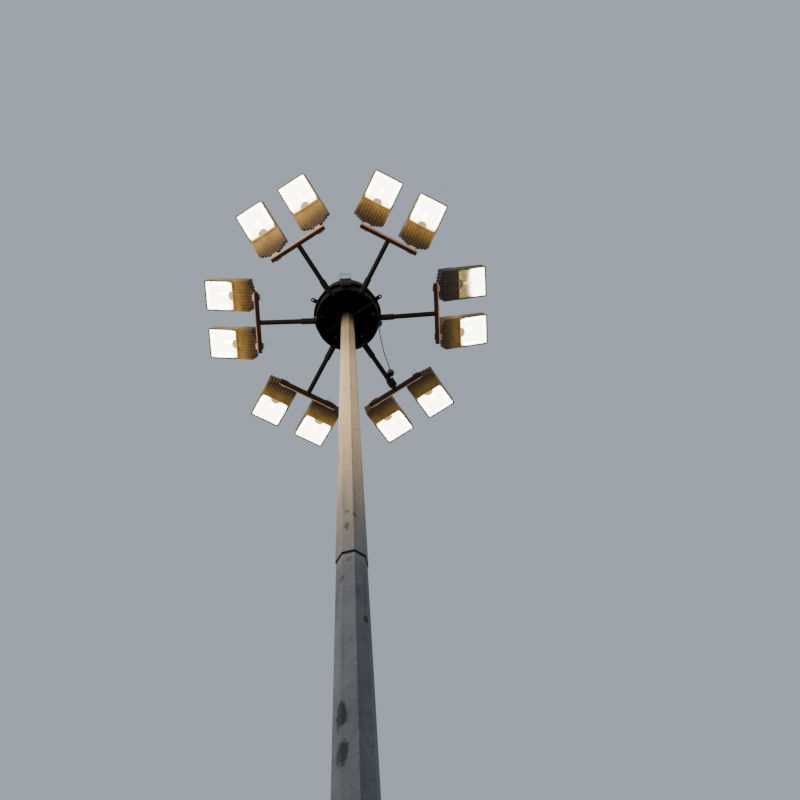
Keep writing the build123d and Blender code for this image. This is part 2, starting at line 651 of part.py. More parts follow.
# Lifting lugs: flat plates with rounded ends on the ring
with BuildPart() as lifting_lugs:
    for angle in LIFT_ANGLES:
        with BuildSketch(radial_plane(angle, 0, RING_BOTTOM + LIFT_RISE)):
            with Locations((LIFT_REACH - LIFT_WIDTH / 2, 0)):
                Circle(LIFT_WIDTH / 2)
            with Locations(((RING_INSIDE + LIFT_REACH - LIFT_WIDTH / 2) / 2, 0)):
                Rectangle(LIFT_REACH - LIFT_WIDTH / 2 - RING_INSIDE, LIFT_WIDTH)
            with Locations((LIFT_REACH - LIFT_WIDTH / 2, 0)):
                Circle(LIFT_HOLE / 2, mode=Mode.SUBTRACT)
            Circle(RING_RADIUS + WELD_GAP, mode=Mode.SUBTRACT)
        extrude(amount=LIFT_THICKNESS)
save(lifting_lugs.part, "lifting_lugs")

# Junction box outside the canopy, on two straps from the ring
box_plane = radial_plane(BOX_ANGLE, BOX_RADIUS, RING_BOTTOM + BOX_RISE)
BOX_BODY = BOX_DEPTH - BOX_LID
with BuildPart() as junction_box:
    with BuildSketch(box_plane):
        with Locations((BOX_BODY / 2, 0)):
            Rectangle(BOX_BODY, BOX_WIDTH)
    extrude(amount=BOX_HEIGHT)
    fillet(junction_box.edges().filter_by(Axis.Z), BOX_CORNER)
    with BuildSketch(box_plane.offset(BOX_WALL)):
        with Locations(((BOX_WALL + BOX_BODY) / 2, 0)):
            Rectangle(BOX_BODY - BOX_WALL, BOX_WIDTH - 2 * BOX_WALL)
    extrude(amount=BOX_HEIGHT - 2 * BOX_WALL, mode=Mode.SUBTRACT)
save(junction_box.part, "junction_box")

lid_middle = box_plane.from_local_coords((BOX_BODY, 0, BOX_HEIGHT / 2))
with BuildPart() as junction_box_lid:
    with BuildSketch(Plane(origin=lid_middle, x_dir=box_plane.y_dir, z_dir=box_plane.x_dir)):
        RectangleRounded(BOX_WIDTH + 2 * BOX_LID_LAP, BOX_HEIGHT + 2 * BOX_LID_LAP, BOX_CORNER)
    extrude(amount=BOX_LID)
    chamfer(junction_box_lid.faces().sort_by(Axis(box_plane.origin, box_plane.x_dir))[-1].edges(), BOX_LID / 3)
save(junction_box_lid.part, "junction_box_lid")

with BuildPart() as box_straps:
    for rise in STRAP_RISES:
        with BuildSketch(radial_plane(BOX_ANGLE, 0, RING_BOTTOM + rise)):
            with Locations(((BOX_RADIUS + RING_INSIDE) / 2, 0)):
                Rectangle(BOX_RADIUS - RING_INSIDE, STRAP_WIDTH)
            Circle(RING_RADIUS + WELD_GAP, mode=Mode.SUBTRACT)
        extrude(amount=STRAP_THICKNESS)
save(box_straps.part, "box_straps")

# Gland block on the ring, with the nut that the beacon's lead leaves
gland_plane = radial_plane(GLAND_ANGLE, 0, RING_BOTTOM + GLAND_RISE)
GLAND_MIDDLE = RING_RADIUS + GLAND_DEPTH / 2
with BuildPart() as lead_gland:
    with BuildSketch(gland_plane):
        with Locations(((RING_INSIDE + RING_RADIUS + GLAND_DEPTH) / 2, 0)):
            Rectangle(RING_WALL + GLAND_DEPTH, GLAND_BLOCK)
        Circle(RING_RADIUS + WELD_GAP, mode=Mode.SUBTRACT)
    extrude(amount=GLAND_BLOCK)
    nut_seat = gland_plane.from_local_coords((GLAND_MIDDLE, GLAND_BLOCK / 2, GLAND_BLOCK / 2))
    with BuildSketch(Plane(origin=nut_seat, z_dir=gland_plane.y_dir)):
        Circle(GLAND_NUT / 2)
    extrude(amount=GLAND_NUT_LENGTH)
save(lead_gland.part, "lead_gland")

# Beacon: a plate from the arm's side, a base with its gland, and the red lens
BEACON_ANGLE = ARM_ANGLES[BEACON_ARM]
beacon_turn = math.radians(BEACON_ANGLE)
BEACON_LEVEL = ARM_AXIS + (BEACON_RADIUS - RING_RADIUS) * math.tan(arm_slope)
beacon_plane = radial_plane(BEACON_ANGLE, BEACON_RADIUS, BEACON_LEVEL)
beacon_middle = beacon_plane.from_local_coords((0, -BEACON_SIDE, BEACON_PLATE))
ARM_TOP_HALF = ARM_DIAMETER / 2
with BuildPart() as beacon_plate:
    with BuildSketch(beacon_plane):
        with Locations((0, -BEACON_SIDE)):
            Circle(BEACON_BASE / 2)
        with Locations((0, -BEACON_SIDE / 2)):
            Rectangle(BEACON_PLATE_WIDTH, BEACON_SIDE)
        with Locations((0, 0)):
            Rectangle(2 * BEACON_PLATE_WIDTH, 2 * (ARM_TOP_HALF + WELD_GAP), mode=Mode.SUBTRACT)
    extrude(amount=BEACON_PLATE)
save(beacon_plate.part, "beacon_plate")

with BuildPart() as beacon_base:
    with BuildSketch(Plane(beacon_middle)):
        Circle(BEACON_BASE / 2)
    extrude(amount=BEACON_BASE_HEIGHT)
    nut_turn = math.radians(BASE_NUT_TURN)
    nut_way = Vector(math.cos(nut_turn), math.sin(nut_turn), 0)
    nut_middle = beacon_middle + Vector(0, 0, BEACON_BASE_HEIGHT / 2)
    with BuildSketch(Plane(origin=nut_middle + nut_way * (BEACON_BASE / 4), z_dir=nut_way)):
        Circle(BASE_NUT / 2)
    extrude(amount=BEACON_BASE / 4 + BASE_NUT_LENGTH)
save(beacon_base.part, "beacon_base")

LENS_BOTTOM = beacon_middle.Z + BEACON_BASE_HEIGHT
LENS_RADIUS = LENS_DIAMETER / 2
lens_plane = Plane(origin=(beacon_middle.X, beacon_middle.Y, LENS_BOTTOM), x_dir=(1, 0, 0), z_dir=(0, -1, 0))
with BuildPart() as beacon_lens:
    with BuildSketch(lens_plane):
        with BuildLine():
            Polyline(
                (0, LENS_HEIGHT),
                (0, 0),
                (BEACON_BASE / 2, 0),
                (LENS_RADIUS - LENS_RING, LENS_RING),
                (LENS_RADIUS, LENS_WIDEST),
                (LENS_RADIUS, LENS_HEIGHT - LENS_RADIUS),
            )
            CenterArc((0, LENS_HEIGHT - LENS_RADIUS), LENS_RADIUS, 0, 90)
        make_face()
    revolve(axis=Axis(beacon_middle, (0, 0, 1)))
    offset(amount=-LENS_WALL, openings=beacon_lens.faces().sort_by(Axis.Z)[0])
save(beacon_lens.part, "beacon_lens")

# Junction box on top of the same arm, against the crossbar
BOX_MIDDLE = BAR_FACE - ARM_BOX_GAP - ARM_BOX_LENGTH / 2
BOX_LEVEL = ARM_AXIS + (BOX_MIDDLE - RING_RADIUS) * math.tan(arm_slope) + ARM_TOP_HALF / math.cos(arm_slope)
arm_top = Plane(
    origin=(BOX_MIDDLE, 0, BOX_LEVEL),
    x_dir=(math.cos(arm_slope), 0, math.sin(arm_slope)),
    z_dir=(-math.sin(arm_slope), 0, math.cos(arm_slope)),
)
with BuildPart() as arm_box:
    with BuildSketch(arm_top):
        RectangleRounded(ARM_BOX_LENGTH, ARM_BOX_WIDTH, ARM_BOX_CORNER)
    extrude(amount=ARM_BOX_HEIGHT)
    with BuildSketch(arm_top.offset(ARM_BOX_WALL)):
        Rectangle(ARM_BOX_LENGTH - 2 * ARM_BOX_WALL, ARM_BOX_WIDTH - 2 * ARM_BOX_WALL)
    extrude(amount=ARM_BOX_HEIGHT - 2 * ARM_BOX_WALL, mode=Mode.SUBTRACT)
save(arm_box.part.rotate(Axis.Z, BEACON_ANGLE), "arm_box")

# Beacon's lead: straight runs joined by bends, from the gland on the ring to the beacon's gland
lead_start = gland_plane.from_local_coords(
    (GLAND_MIDDLE, GLAND_BLOCK / 2 + GLAND_NUT_LENGTH, GLAND_BLOCK / 2)
)
lead_end = nut_middle + nut_way * (BEACON_BASE / 2 + BASE_NUT_LENGTH)
lead_points = [lead_start, lead_start + gland_plane.y_dir * LEAD_END_RUN]
lead_points += [Vector(x, y, RING_BOTTOM + rise) for x, y, rise in LEAD_MIDDLE_ROUTE]
lead_points += [lead_end + nut_way * LEAD_END_RUN, lead_end]
lead_radii = []
for before, corner, after in zip(lead_points, lead_points[1:], lead_points[2:]):
    turn = math.radians((corner - before).get_angle(after - corner))
    shorter = min((corner - before).length, (after - corner).length)
    lead_radii.append(LEAD_ARC_SHARE * shorter / math.tan(turn / 2))
print("lead route", [tuple(round(value, 1) for value in point) for point in lead_points])
print("lead bend radii", [round(radius, 1) for radius in lead_radii])
with BuildPart() as beacon_lead:
    with BuildLine() as lead_path:
        FilletPolyline(*lead_points, radius=lead_radii)
    with BuildSketch(Plane(origin=lead_start, z_dir=gland_plane.y_dir)):
        Circle(LEAD_DIAMETER / 2)
    sweep(path=lead_path.wire())
lead_section = math.pi * LEAD_DIAMETER**2 / 4
lead_length = lead_path.wire().length
print("lead length", round(lead_length, 1), "volume over section", round(beacon_lead.part.volume / lead_section, 1))
save(beacon_lead.part, "beacon_lead")
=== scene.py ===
"""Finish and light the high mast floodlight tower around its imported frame.

All sizes are metres in the frame's own axes: Z runs up the mast from the underside of
the base flange, and the first arm points along +X.
"""

import logging
import math
from dataclasses import dataclass, field
from enum import Enum
from typing import Sequence, Union

import bmesh
import bpy
from mathutils import Matrix, Vector


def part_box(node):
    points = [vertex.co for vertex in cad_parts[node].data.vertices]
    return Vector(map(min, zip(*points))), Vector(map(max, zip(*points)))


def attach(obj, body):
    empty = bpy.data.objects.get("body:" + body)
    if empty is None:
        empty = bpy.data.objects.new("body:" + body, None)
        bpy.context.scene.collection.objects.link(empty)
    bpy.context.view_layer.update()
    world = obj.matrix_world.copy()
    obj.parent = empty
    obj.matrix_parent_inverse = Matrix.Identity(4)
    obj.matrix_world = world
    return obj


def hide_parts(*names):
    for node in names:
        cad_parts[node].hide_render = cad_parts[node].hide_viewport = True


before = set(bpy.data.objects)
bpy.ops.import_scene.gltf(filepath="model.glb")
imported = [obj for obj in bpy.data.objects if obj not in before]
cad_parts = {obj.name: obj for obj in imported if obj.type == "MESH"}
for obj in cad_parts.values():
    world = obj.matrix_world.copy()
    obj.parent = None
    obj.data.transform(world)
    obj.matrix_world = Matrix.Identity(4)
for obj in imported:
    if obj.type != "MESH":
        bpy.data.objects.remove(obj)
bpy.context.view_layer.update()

logging.basicConfig(level=logging.INFO, format="%(levelname)s %(message)s")
LOG = logging.getLogger("tower")

TOWER = "tower"
Point = tuple[float, float, float]
Pair = tuple[float, float]
Socket = bpy.types.NodeSocket
Wire = Union[Socket, float, Sequence[float]]

# Heights and radii read from the frame
FLANGE_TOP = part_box("base_flange")[1][2]
RING_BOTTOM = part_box("head_ring")[0][2]
RING_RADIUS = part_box("head_ring")[1][0]
RING_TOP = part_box("head_ring")[1][2]
CANOPY_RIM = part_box("canopy")[0][2]
JOINT_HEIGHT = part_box("mast_upper_section")[0][2]
MAST_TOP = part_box("mast_upper_section")[1][2]

# Sizes that the part was drawn with
ARM_COUNT = 6
ARM_SLOPE = math.radians(5.0)
ARM_HEIGHT = RING_BOTTOM + 0.055
ARM_DIAMETER = 0.0635
BAR_RADIUS = 1.200
BAR_LENGTH = 0.830
BAR_SIZE = 0.065
BAR_HEIGHT = ARM_HEIGHT + (BAR_RADIUS - RING_RADIUS) * math.tan(ARM_SLOPE)
BAR_TOP = BAR_HEIGHT + BAR_SIZE / 2
FLOOD_COUNT = 2 * ARM_COUNT
FLOOD_OFFSET = 0.335
PIVOT_HEIGHT = BAR_HEIGHT + 0.130
FLOOD_TILT = math.radians(20.0)
# The dim floodlight's casting has a darker coat and much less painted lamp glow, and its shroud less painted
# glow, for its dimmer lamp.
DIM_FLOOD = 1  # it has the darker casting and the dimmer lamp
MAST_SIDES = 8
OCTAGON_TURN = math.radians(11.5)
TOP_FLATS = 0.152
TAPER = 0.0105
JOINT_STEP = 0.0116

# Turns that lay a piece on its side, along +X, or hang it upside down
LYING = Matrix.Rotation(math.pi / 2, 4, "Y")
HANGING = Matrix.Rotation(math.pi, 4, "X")


def upper_flats(height: float) -> float:
    """Width across flats of the mast's upper section at a height."""
    return TOP_FLATS + TAPER * (MAST_TOP - height)


def mast_flats(height: float) -> float:
    """Width across flats of whichever section shows at a height."""
    return upper_flats(height) - (JOINT_STEP if height < JOINT_HEIGHT else 0.0)


def corner_reach(flats: float) -> float:
    """Distance from the mast's axis to a corner of the octagon."""
    return flats / 2 / math.cos(math.pi / MAST_SIDES)


def mast_turn(corner: float) -> float:
    """Plan angle of a corner of the mast, or of a flat's middle for a half number."""
    return OCTAGON_TURN + math.tau / MAST_SIDES * corner


def spot_round(turn: float, reach: float, height: float) -> Vector:
    """Point at an angle, a distance and a height about the mast's axis."""
    return Vector((reach * math.cos(turn), reach * math.sin(turn), height))


def circle_round(reach: float, height: float, count: int = 72) -> list[Vector]:
    """Points all round the mast's axis."""
    return [spot_round(math.tau * step / count, reach, height) for step in range(count)]


def shift(x: float, y: float, z: float) -> Matrix:
    """Matrix that moves a piece."""
    return Matrix.Translation((x, y, z))


def arm_angle(arm: int) -> float:
    """Plan angle of an arm, counted from 0, in radians."""
    return math.tau * arm / ARM_COUNT


def arm_place(arm: int) -> Matrix:
    """Matrix that turns a piece drawn on the first arm to another arm."""
    return Matrix.Rotation(arm_angle(arm), 4, "Z")


def arm_axis(reach: float) -> float:
    """Height of an arm's axis at a distance from the mast's."""
    return ARM_HEIGHT + (reach - RING_RADIUS) * math.tan(ARM_SLOPE)


def flood_place(number: int) -> Matrix:
    """Matrix from a floodlight's own axes to the frame.

    Args:
        number: the floodlight, counted from 1.

    Returns:
        The matrix of its pivot, tilted as the floodlight is at rest.
    """
    side = FLOOD_OFFSET if number % 2 == 0 else -FLOOD_OFFSET
    tilt = Matrix.Rotation(-FLOOD_TILT, 4, "Y")
    return arm_place((number - 1) // 2) @ shift(BAR_RADIUS, side, PIVOT_HEIGHT) @ tilt


def scaled(tone: Point, share: float) -> Point:
    """A tone made brighter or darker."""
    return tuple(share * part for part in tone)


def feed(socket: Socket, value: Wire) -> None:
    """Wire a socket, or give it a plain value."""
    if isinstance(value, bpy.types.NodeSocket):
        socket.id_data.links.new(value, socket)
    else:
        socket.default_value = value


class Bench:
    """Adds nodes to one tree."""

    tree: bpy.types.NodeTree

    def node(self, kind: str, *values: "Wire | None", **named: object) -> bpy.types.Node:
        """Add a node, set it and feed its inputs.

        Args:
            kind: Blender's type name.
            *values: what feeds the first inputs, or None to leave one as it is.
            **named: the node's own settings, in lower case, and what feeds an input that is
                called by its name, with underscores for spaces.

        Returns:
            The node.
        """
        made = self.tree.nodes.new(kind)
        for key, value in named.items():
            if key.islower():
                setattr(made, key, value)
        for socket, value in zip(made.inputs, values):
            if value is not None:
                feed(socket, value)
        for key, value in named.items():
            if not key.islower():
                feed(made.inputs[key.replace("_", " ")], value)
        return made

    def math(self, operation: str, *values: Wire) -> Socket:
        """Result of a math node on wires or plain values."""
        return self.node("ShaderNodeMath", *values, operation=operation).outputs[0]


class Grain(Enum):
    """How a noise pattern is drawn out."""

    EVEN = (1.0, 1.0, 1.0)
    RUNS = (1.0, 1.0, 0.06)


class ShaderBench(Bench):
    """Wires one procedural surface from noise, ramps and mixes."""

    noise_roughness = 0.62

    def __init__(self, name: str) -> None:
        """Start an empty surface.

        Args:
            name: name of the material.
        """
        self.material = bpy.data.materials.new(name)
        self.material.use_nodes = True
        self.tree = self.material.node_tree
        self.surface = self.tree.nodes["Principled BSDF"]
        self.place = self.node("ShaderNodeTexCoord").outputs["Object"]

    def put(self, **values: Wire) -> None:
        """Feed the surface's own sockets, named with underscores for spaces."""
        for socket, value in values.items():
            feed(self.surface.inputs[socket.replace("_", " ")], value)

    def noise(self, scale: float, detail: float = 5.0, grain: Grain = Grain.EVEN) -> Socket:
        """A noise factor.

        Args:
            scale: cycles per metre.
            detail: octaves.
            grain: how the pattern is drawn out.

        Returns:
            The noise's factor.
        """
        drawn = self.node("ShaderNodeMapping", Vector=self.place, Scale=grain.value).outputs["Vector"]
        roughness = self.noise_roughness
        noise = self.node("ShaderNodeTexNoise", Vector=drawn, Scale=scale, Detail=detail, Roughness=roughness)
        return noise.outputs["Fac"]

    def cells(self, scale: float) -> Socket:
        """Random grey for each crystal-like cell, scale cells per metre."""
        cells = self.node("ShaderNodeTexVoronoi", Vector=self.place, Scale=scale)
        return self.node("ShaderNodeRGBToBW", cells.outputs["Color"]).outputs["Val"]

    def axis(self, letter: str) -> Socket:
        """X, Y or Z of the frame."""
        return self.node("ShaderNodeSeparateXYZ", self.place).outputs[letter]

    def between(self, factor: Socket, low: float, high: float) -> Socket:
        """A smooth factor from 0 at one value of another factor to 1 at a second value."""
        spread = self.node(
            "ShaderNodeMapRange", factor, From_Min=low, From_Max=high, interpolation_type="SMOOTHSTEP"
        )
        return spread.outputs["Result"]

    def height(self, low: float, high: float) -> Socket:
        """A factor that rises smoothly from 0 to 1 between two heights."""
        return self.between(self.axis("Z"), low, high)

    def level(self, factor: Socket, low: float, high: float) -> Socket:
        """Spread a factor evenly between two values."""
        return self.node("ShaderNodeMapRange", factor, To_Min=low, To_Max=high).outputs["Result"]

    def blot(self, x: float, z: float, wide: float, tall: float) -> Socket:
        """A factor that is 1 at a spot on the mast and falls to 0 on an upright oval round it."""
        far: Wire = 0.0
        for letter, middle, half in (("X", x, wide), ("Z", z, tall)):
            away = self.math("MULTIPLY", self.math("SUBTRACT", self.axis(letter), middle), 1 / half)
            far = self.math("MULTIPLY_ADD", away, away, far)
        return self.math("SUBTRACT", 1.0, far)

    def outward(self) -> Socket:
        """Distance from the mast's axis, measured along the nearest arm."""
        furthest: Wire = 0.0
        for arm in range(ARM_COUNT // 2):
            way = tuple(spot_round(arm_angle(arm), 1.0, 0.0))
            dot = self.node("ShaderNodeVectorMath", self.place, way, operation="DOT_PRODUCT")
            furthest = self.math("MAXIMUM", self.math("ABSOLUTE", dot.outputs["Value"]), furthest)
        return furthest

    def flood_axes(self) -> tuple[Socket, Socket]:
        """Distance from the pivot and height over it, along a floodlight's own tilted axes."""
        out = self.math("SUBTRACT", self.outward(), BAR_RADIUS)
        over = self.math("SUBTRACT", self.axis("Z"), PIVOT_HEIGHT)
        cosine, sine = math.cos(FLOOD_TILT), math.sin(FLOOD_TILT)
        along = self.math("MULTIPLY_ADD", out, cosine, self.math("MULTIPLY", over, sine))
        height = self.math("MULTIPLY_ADD", over, cosine, self.math("MULTIPLY", out, -sine))
        return along, height

    def ramp(self, factor: Socket, *stops: Pair) -> Socket:
        """Bend a factor through grey stops, each a place and a value."""
        ramp = self.node("ShaderNodeValToRGB", factor)
        for element, (place, value) in zip(ramp.color_ramp.elements, stops):
            element.position = place
            element.color = (value, value, value, 1.0)
        return ramp.outputs["Color"]

    def patches(
        self, scale: float, detail: float, start: float, full: Pair, grain: Grain = Grain.EVEN
    ) -> Socket:
        """Patches cut out of a noise.

        Args:
            scale: cycles per metre.
            detail: octaves.
            start: noise at which a patch starts.
            full: noise at which it is full, and how strong it is there.
            grain: how the patches are drawn out.

        Returns:
            The patches' factor.
        """
        return self.ramp(self.noise(scale, detail, grain), (start, 0.0), full)

    def mix(self, factor: Socket, low: "Socket | Point", high: "Socket | Point") -> Socket:
        """Mix two colours.

        Args:
            factor: 0 gives low and 1 gives high.
            low: a colour or a wire.
            high: a colour or a wire.

        Returns:
            The mixed colour.
        """
        node = self.node("ShaderNodeMix", factor, data_type="RGBA")
        for socket, value in zip(node.inputs[6:8], (low, high)):
            feed(socket, value if isinstance(value, bpy.types.NodeSocket) else (*value, 1.0))
        return node.outputs[2]

    def bump(self, *layers: tuple[Socket, float]) -> None:
        """Raise the surface by height factors, each with its depth in metres."""
        normal = None
        for height, depth in layers:
            bump = self.node("ShaderNodeBump", Strength=1.0, Distance=depth, Height=height)
            if normal is not None:
                feed(bump.inputs["Normal"], normal)
            normal = bump.outputs["Normal"]
        self.put(Normal=normal)


@dataclass(frozen=True)
class Finish:
    """A finish, whose kind says how its surface is wired."""

    name: str

    def wire(self, bench: ShaderBench) -> None:
        """Wire the surface."""
        raise NotImplementedError

    def build(self) -> bpy.types.Material:
        """Build the material."""
        bench = ShaderBench(self.name)
        self.wire(bench)
        return bench.material


@dataclass(frozen=True)
class MastZinc(Finish):
    """Weathered galvanizing with dark runs and stains; painted lamp light makes it lighter and warmer towards
    the head, painted shade darkens its top under the canopy, and a painted shadow lies under the slip joint's
    lip.
    """

    name: str = "mast_zinc"
    # Between the two heights after them, the tone and patches go from the low values to the high ones, which
    # are painted lamp light: the floodlights' warm glow on the upper mast.
    low_tone: Point = (0.110, 0.111, 0.124)
    lamp_lit_tone: Point = (0.84, 0.58, 0.31)
    low_patch: Point = (0.165, 0.163, 0.170)
    lamp_lit_patch: Point = (0.68, 0.49, 0.28)
    lamp_glow_heights: Pair = (10.8, 15.8)
    stain: Point = (0.016, 0.013, 0.013)
    stains: tuple[tuple[float, float, float, float, float], ...] = (
        (-0.070, 8.56, 0.048, 0.18, 0.80),
        (-0.076, 8.99, 0.044, 0.20, 0.85),
        (0.097, 10.30, 0.020, 0.07, 0.90),
        (0.045, 10.72, 0.026, 0.13, 0.40),
        (-0.075, 10.97, 0.032, 0.08, 0.50),
        (-0.012, 11.27, 0.034, 0.06, 0.40),
        (-0.030, 11.93, 0.024, 0.11, 0.60),
        (0.035, 12.17, 0.026, 0.06, 0.55),
        (-0.029, 12.26, 0.024, 0.06, 0.50),
    )
    # Painted shade: the mast darkens to near black at its top under the canopy, in two bands, each with its
    # low and high heights and its depth.
    painted_shade_tone: Point = (0.012, 0.008, 0.006)
    painted_shade_bands: tuple[Point, ...] = ((16.8, 18.4, 0.50), (18.5, 19.45, 0.985))
    # Painted shadow of the slip joint's lip: a near-black band just below the joint.
    lip: Point = (0.003, 0.003, 0.003)

    def stained(self, bench: ShaderBench, tone: Socket) -> Socket:
        """Lay the stains, ragged at their edges, on the near side of the mast.

        Args:
            bench: the surface's bench.
            tone: the colour so far.

        Returns:
            The stained colour.
        """
        ragged = bench.level(bench.noise(17.0, 7.0), -1.1, 1.1)
        front = bench.between(bench.axis("Y"), 0.0, -0.02)
        for x, z, wide, tall, strength in self.stains:
            patch = bench.math("ADD", bench.blot(x, z, wide, tall), ragged)
            torn = bench.math("MULTIPLY", bench.between(patch, 0.10, 0.75), strength)
            tone = bench.mix(bench.math("MULTIPLY", torn, front), tone, self.stain)
        return tone

    def wire(self, bench: ShaderBench) -> None:
        """Wire the surface."""
        # Painted lamp light: the mast turns lighter and warmer towards the floodlights.
        lamp_glow_rise = bench.height(*self.lamp_glow_heights)
        plain = bench.mix(lamp_glow_rise, self.low_tone, self.lamp_lit_tone)
        patchy = bench.mix(lamp_glow_rise, self.low_patch, self.lamp_lit_patch)
        tone = bench.mix(bench.patches(2.3, 6.0, 0.38, (0.70, 0.8)), plain, patchy)
        spangle = bench.level(bench.cells(46.0), 0.80, 1.12)
        spangled = bench.node("ShaderNodeVectorMath", tone, operation="SCALE", Scale=spangle).outputs[0]
        tone = bench.mix(bench.patches(9.0, 6.0, 0.52, (0.76, 0.45), Grain.RUNS), spangled, self.stain)
        tone = self.stained(bench, tone)
        # Painted shade darkening the mast's top under the canopy.
        for low, high, depth in self.painted_shade_bands:
            tone = bench.mix(bench.math("MULTIPLY", bench.height(low, high), depth), tone, self.painted_shade_tone)
        # Painted shadow: a near-black band on the lower section just under the joint's lip.
        under = bench.height(JOINT_HEIGHT - 0.048, JOINT_HEIGHT - 0.030)
        lip = bench.math("MULTIPLY", under, bench.height(JOINT_HEIGHT + 0.002, JOINT_HEIGHT))
        bench.put(
            Base_Color=bench.mix(lip, tone, self.lip),
            Metallic=0.35,
            Specular_IOR_Level=0.15,
            Roughness=bench.level(bench.noise(18.0), 0.48, 0.74),
        )
        bench.bump((bench.noise(3.0, 3.0), 0.0015), (bench.noise(90.0, 4.0), 0.0004))


@dataclass(frozen=True)
class DarkPaint(Finish):
    """Old dark paint on steel, with rust at its worn places and dust in streaks."""

    coat: Point = (0.0034, 0.0022, 0.0018)
    rust: Point = (0.016, 0.006, 0.003)
    dust: Point = (0.010, 0.008, 0.006)
    rusting: float = 0.4
    sheen: float = 0.12

    def tone(self, bench: ShaderBench) -> Socket:
        """Wire the paint's colour."""
        worn = bench.patches(22.0, 7.0, 0.54, (0.66, self.rusting))
        streaks = bench.patches(30.0, 5.0, 0.50, (0.76, 0.45), Grain.RUNS)
        coat = bench.mix(bench.noise(5.0, 3.0), self.coat, scaled(self.coat, 1.7))
        return bench.mix(worn, bench.mix(streaks, coat, self.dust), self.rust)

    def wire(self, bench: ShaderBench) -> None:
        """Wire the surface."""
        bench.put(
            Base_Color=self.tone(bench),
            Specular_IOR_Level=self.sheen,
            Roughness=bench.level(bench.noise(35.0), 0.50, 0.82),
        )
        bench.bump((bench.noise(22.0, 7.0), 0.0006), (bench.noise(160.0, 3.0), 0.0003))


@dataclass(frozen=True)
class BarPaint(DarkPaint):
    """Dark paint, with painted lamp light in peach along the edge of each crossbar that the lamps shine on.
    """

    lamp_lit_peach: Point = (0.46, 0.25, 0.14)
    edge: Pair = (BAR_RADIUS + BAR_SIZE / 2 - 0.0165, BAR_RADIUS + BAR_SIZE / 2 - 0.0110)

    def tone(self, bench: ShaderBench) -> Socket:
        """Wire the paint's colour."""
        # Painted lamp light: the floodlights' glow on each crossbar's outer edge, in patches.
        side = bench.between(bench.outward(), *self.edge)
        patchy = bench.math("MULTIPLY", side, bench.ramp(bench.noise(9.0), (0.30, 0.55), (0.50, 1.0)))
        return bench.mix(patchy, super().tone(bench), self.lamp_lit_peach)


@dataclass(frozen=True)
class BracketPaint(DarkPaint):
    """Dark paint on the brackets, worn to grey zinc on their bent rods and on their outer edges."""

    zinc: Point = (0.60, 0.60, 0.61)
    speck: Point = (0.40, 0.37, 0.35)
    inside: Pair = (1.1605, 1.1600)
    outside: Pair = (1.222, 1.236)

    def tone(self, bench: ShaderBench) -> Socket:
        """Wire the paint's colour."""
        out = bench.outward()
        rod = bench.math("MAXIMUM", bench.between(out, *self.inside), bench.between(out, *self.outside))
        speckled = bench.mix(bench.patches(60.0, 5.0, 0.4, (0.7, 1.0)), self.zinc, self.speck)
        return bench.mix(rod, super().tone(bench), speckled)


@dataclass(frozen=True)
class CastBronze(Finish):
    """Bronze-brown paint on a sand-grained casting, dark at its inner end and rim, and golden by the glass
    with painted lamp glow.
    """

    name: str = "cast_bronze"
    # The gold by the glass is painted lamp glow; the coat is the casting's own paint.
    gold: Point = (0.460, 0.250, 0.048)
    coat: Point = (0.070, 0.033, 0.006)
    rim: Point = (0.085, 0.052, 0.022)
    dust: Point = (0.26, 0.17, 0.06)
    lamp_glow_span: Pair = (0.08, 0.33)
    rim_height: Pair = (-0.0405, -0.0412)
    rim_start: Pair = (0.322, 0.336)

    def wire(self, bench: ShaderBench) -> None:
        """Wire the surface."""
        along, over = bench.flood_axes()
        # Painted lamp glow: golden towards the glass, fading to the coat at the inner end.
        tone = bench.mix(bench.between(along, *self.lamp_glow_span), self.coat, self.gold)
        tone = bench.mix(bench.patches(6.0, 5.0, 0.42, (0.70, 0.6)), tone, self.coat)
        tone = bench.mix(bench.patches(28.0, 6.0, 0.58, (0.76, 0.4)), tone, self.dust)
        below, beyond = bench.between(over, *self.rim_height), bench.between(along, *self.rim_start)
        bench.put(
            Base_Color=bench.mix(bench.math("MULTIPLY", below, beyond), tone, self.rim),
            Metallic=0.25,
            Roughness=bench.level(bench.noise(40.0), 0.38, 0.66),
        )
        bench.bump((bench.noise(420.0, 2.0), 0.00025), (bench.noise(9.0, 2.0), 0.0010))


@dataclass(frozen=True)
class PlainSurface(Finish):
    """A fine-grained surface of one tone with a little wear.

    The noise sets small changes of tone, gloss and height, so no two pieces look alike.
    """

    tone: Point
    wear: Point
    metallic: float = 0.0
    gloss: Pair = (0.35, 0.60)
    grain: float = 60.0
    depth: float = 0.0003

    def wire(self, bench: ShaderBench) -> None:
        """Wire the surface."""
        spots = bench.patches(self.grain, 6.0, 0.48, (0.70, 0.8))
        bench.put(
            Base_Color=bench.mix(spots, self.tone, self.wear),
            Metallic=self.metallic,
            Roughness=bench.level(bench.noise(self.grain / 2), *self.gloss),
        )
        bench.bump((bench.noise(self.grain * 3, 2.0), self.depth))


@dataclass(frozen=True)
class ClearSheet(Finish):
    """Glass, clear or coloured through, with a film of dirt."""

    tone: Point
    film: Point
    roughness: float = 0.05
    filming: float = 0.25
    glow: float = 0.0

    def wire(self, bench: ShaderBench) -> None:
        """Wire the surface."""
        dirt = bench.patches(12.0, 6.0, 0.45, (0.80, self.filming))
        bench.put(
            Base_Color=bench.mix(dirt, self.tone, self.film),
            Transmission_Weight=0.92,
            IOR=1.45,
            Roughness=bench.level(dirt, self.roughness, 0.45),
            Emission_Color=(*self.tone, 1.0),
            Emission_Strength=self.glow,
        )
        bench.bump((bench.noise(7.0, 2.0), 0.0004))


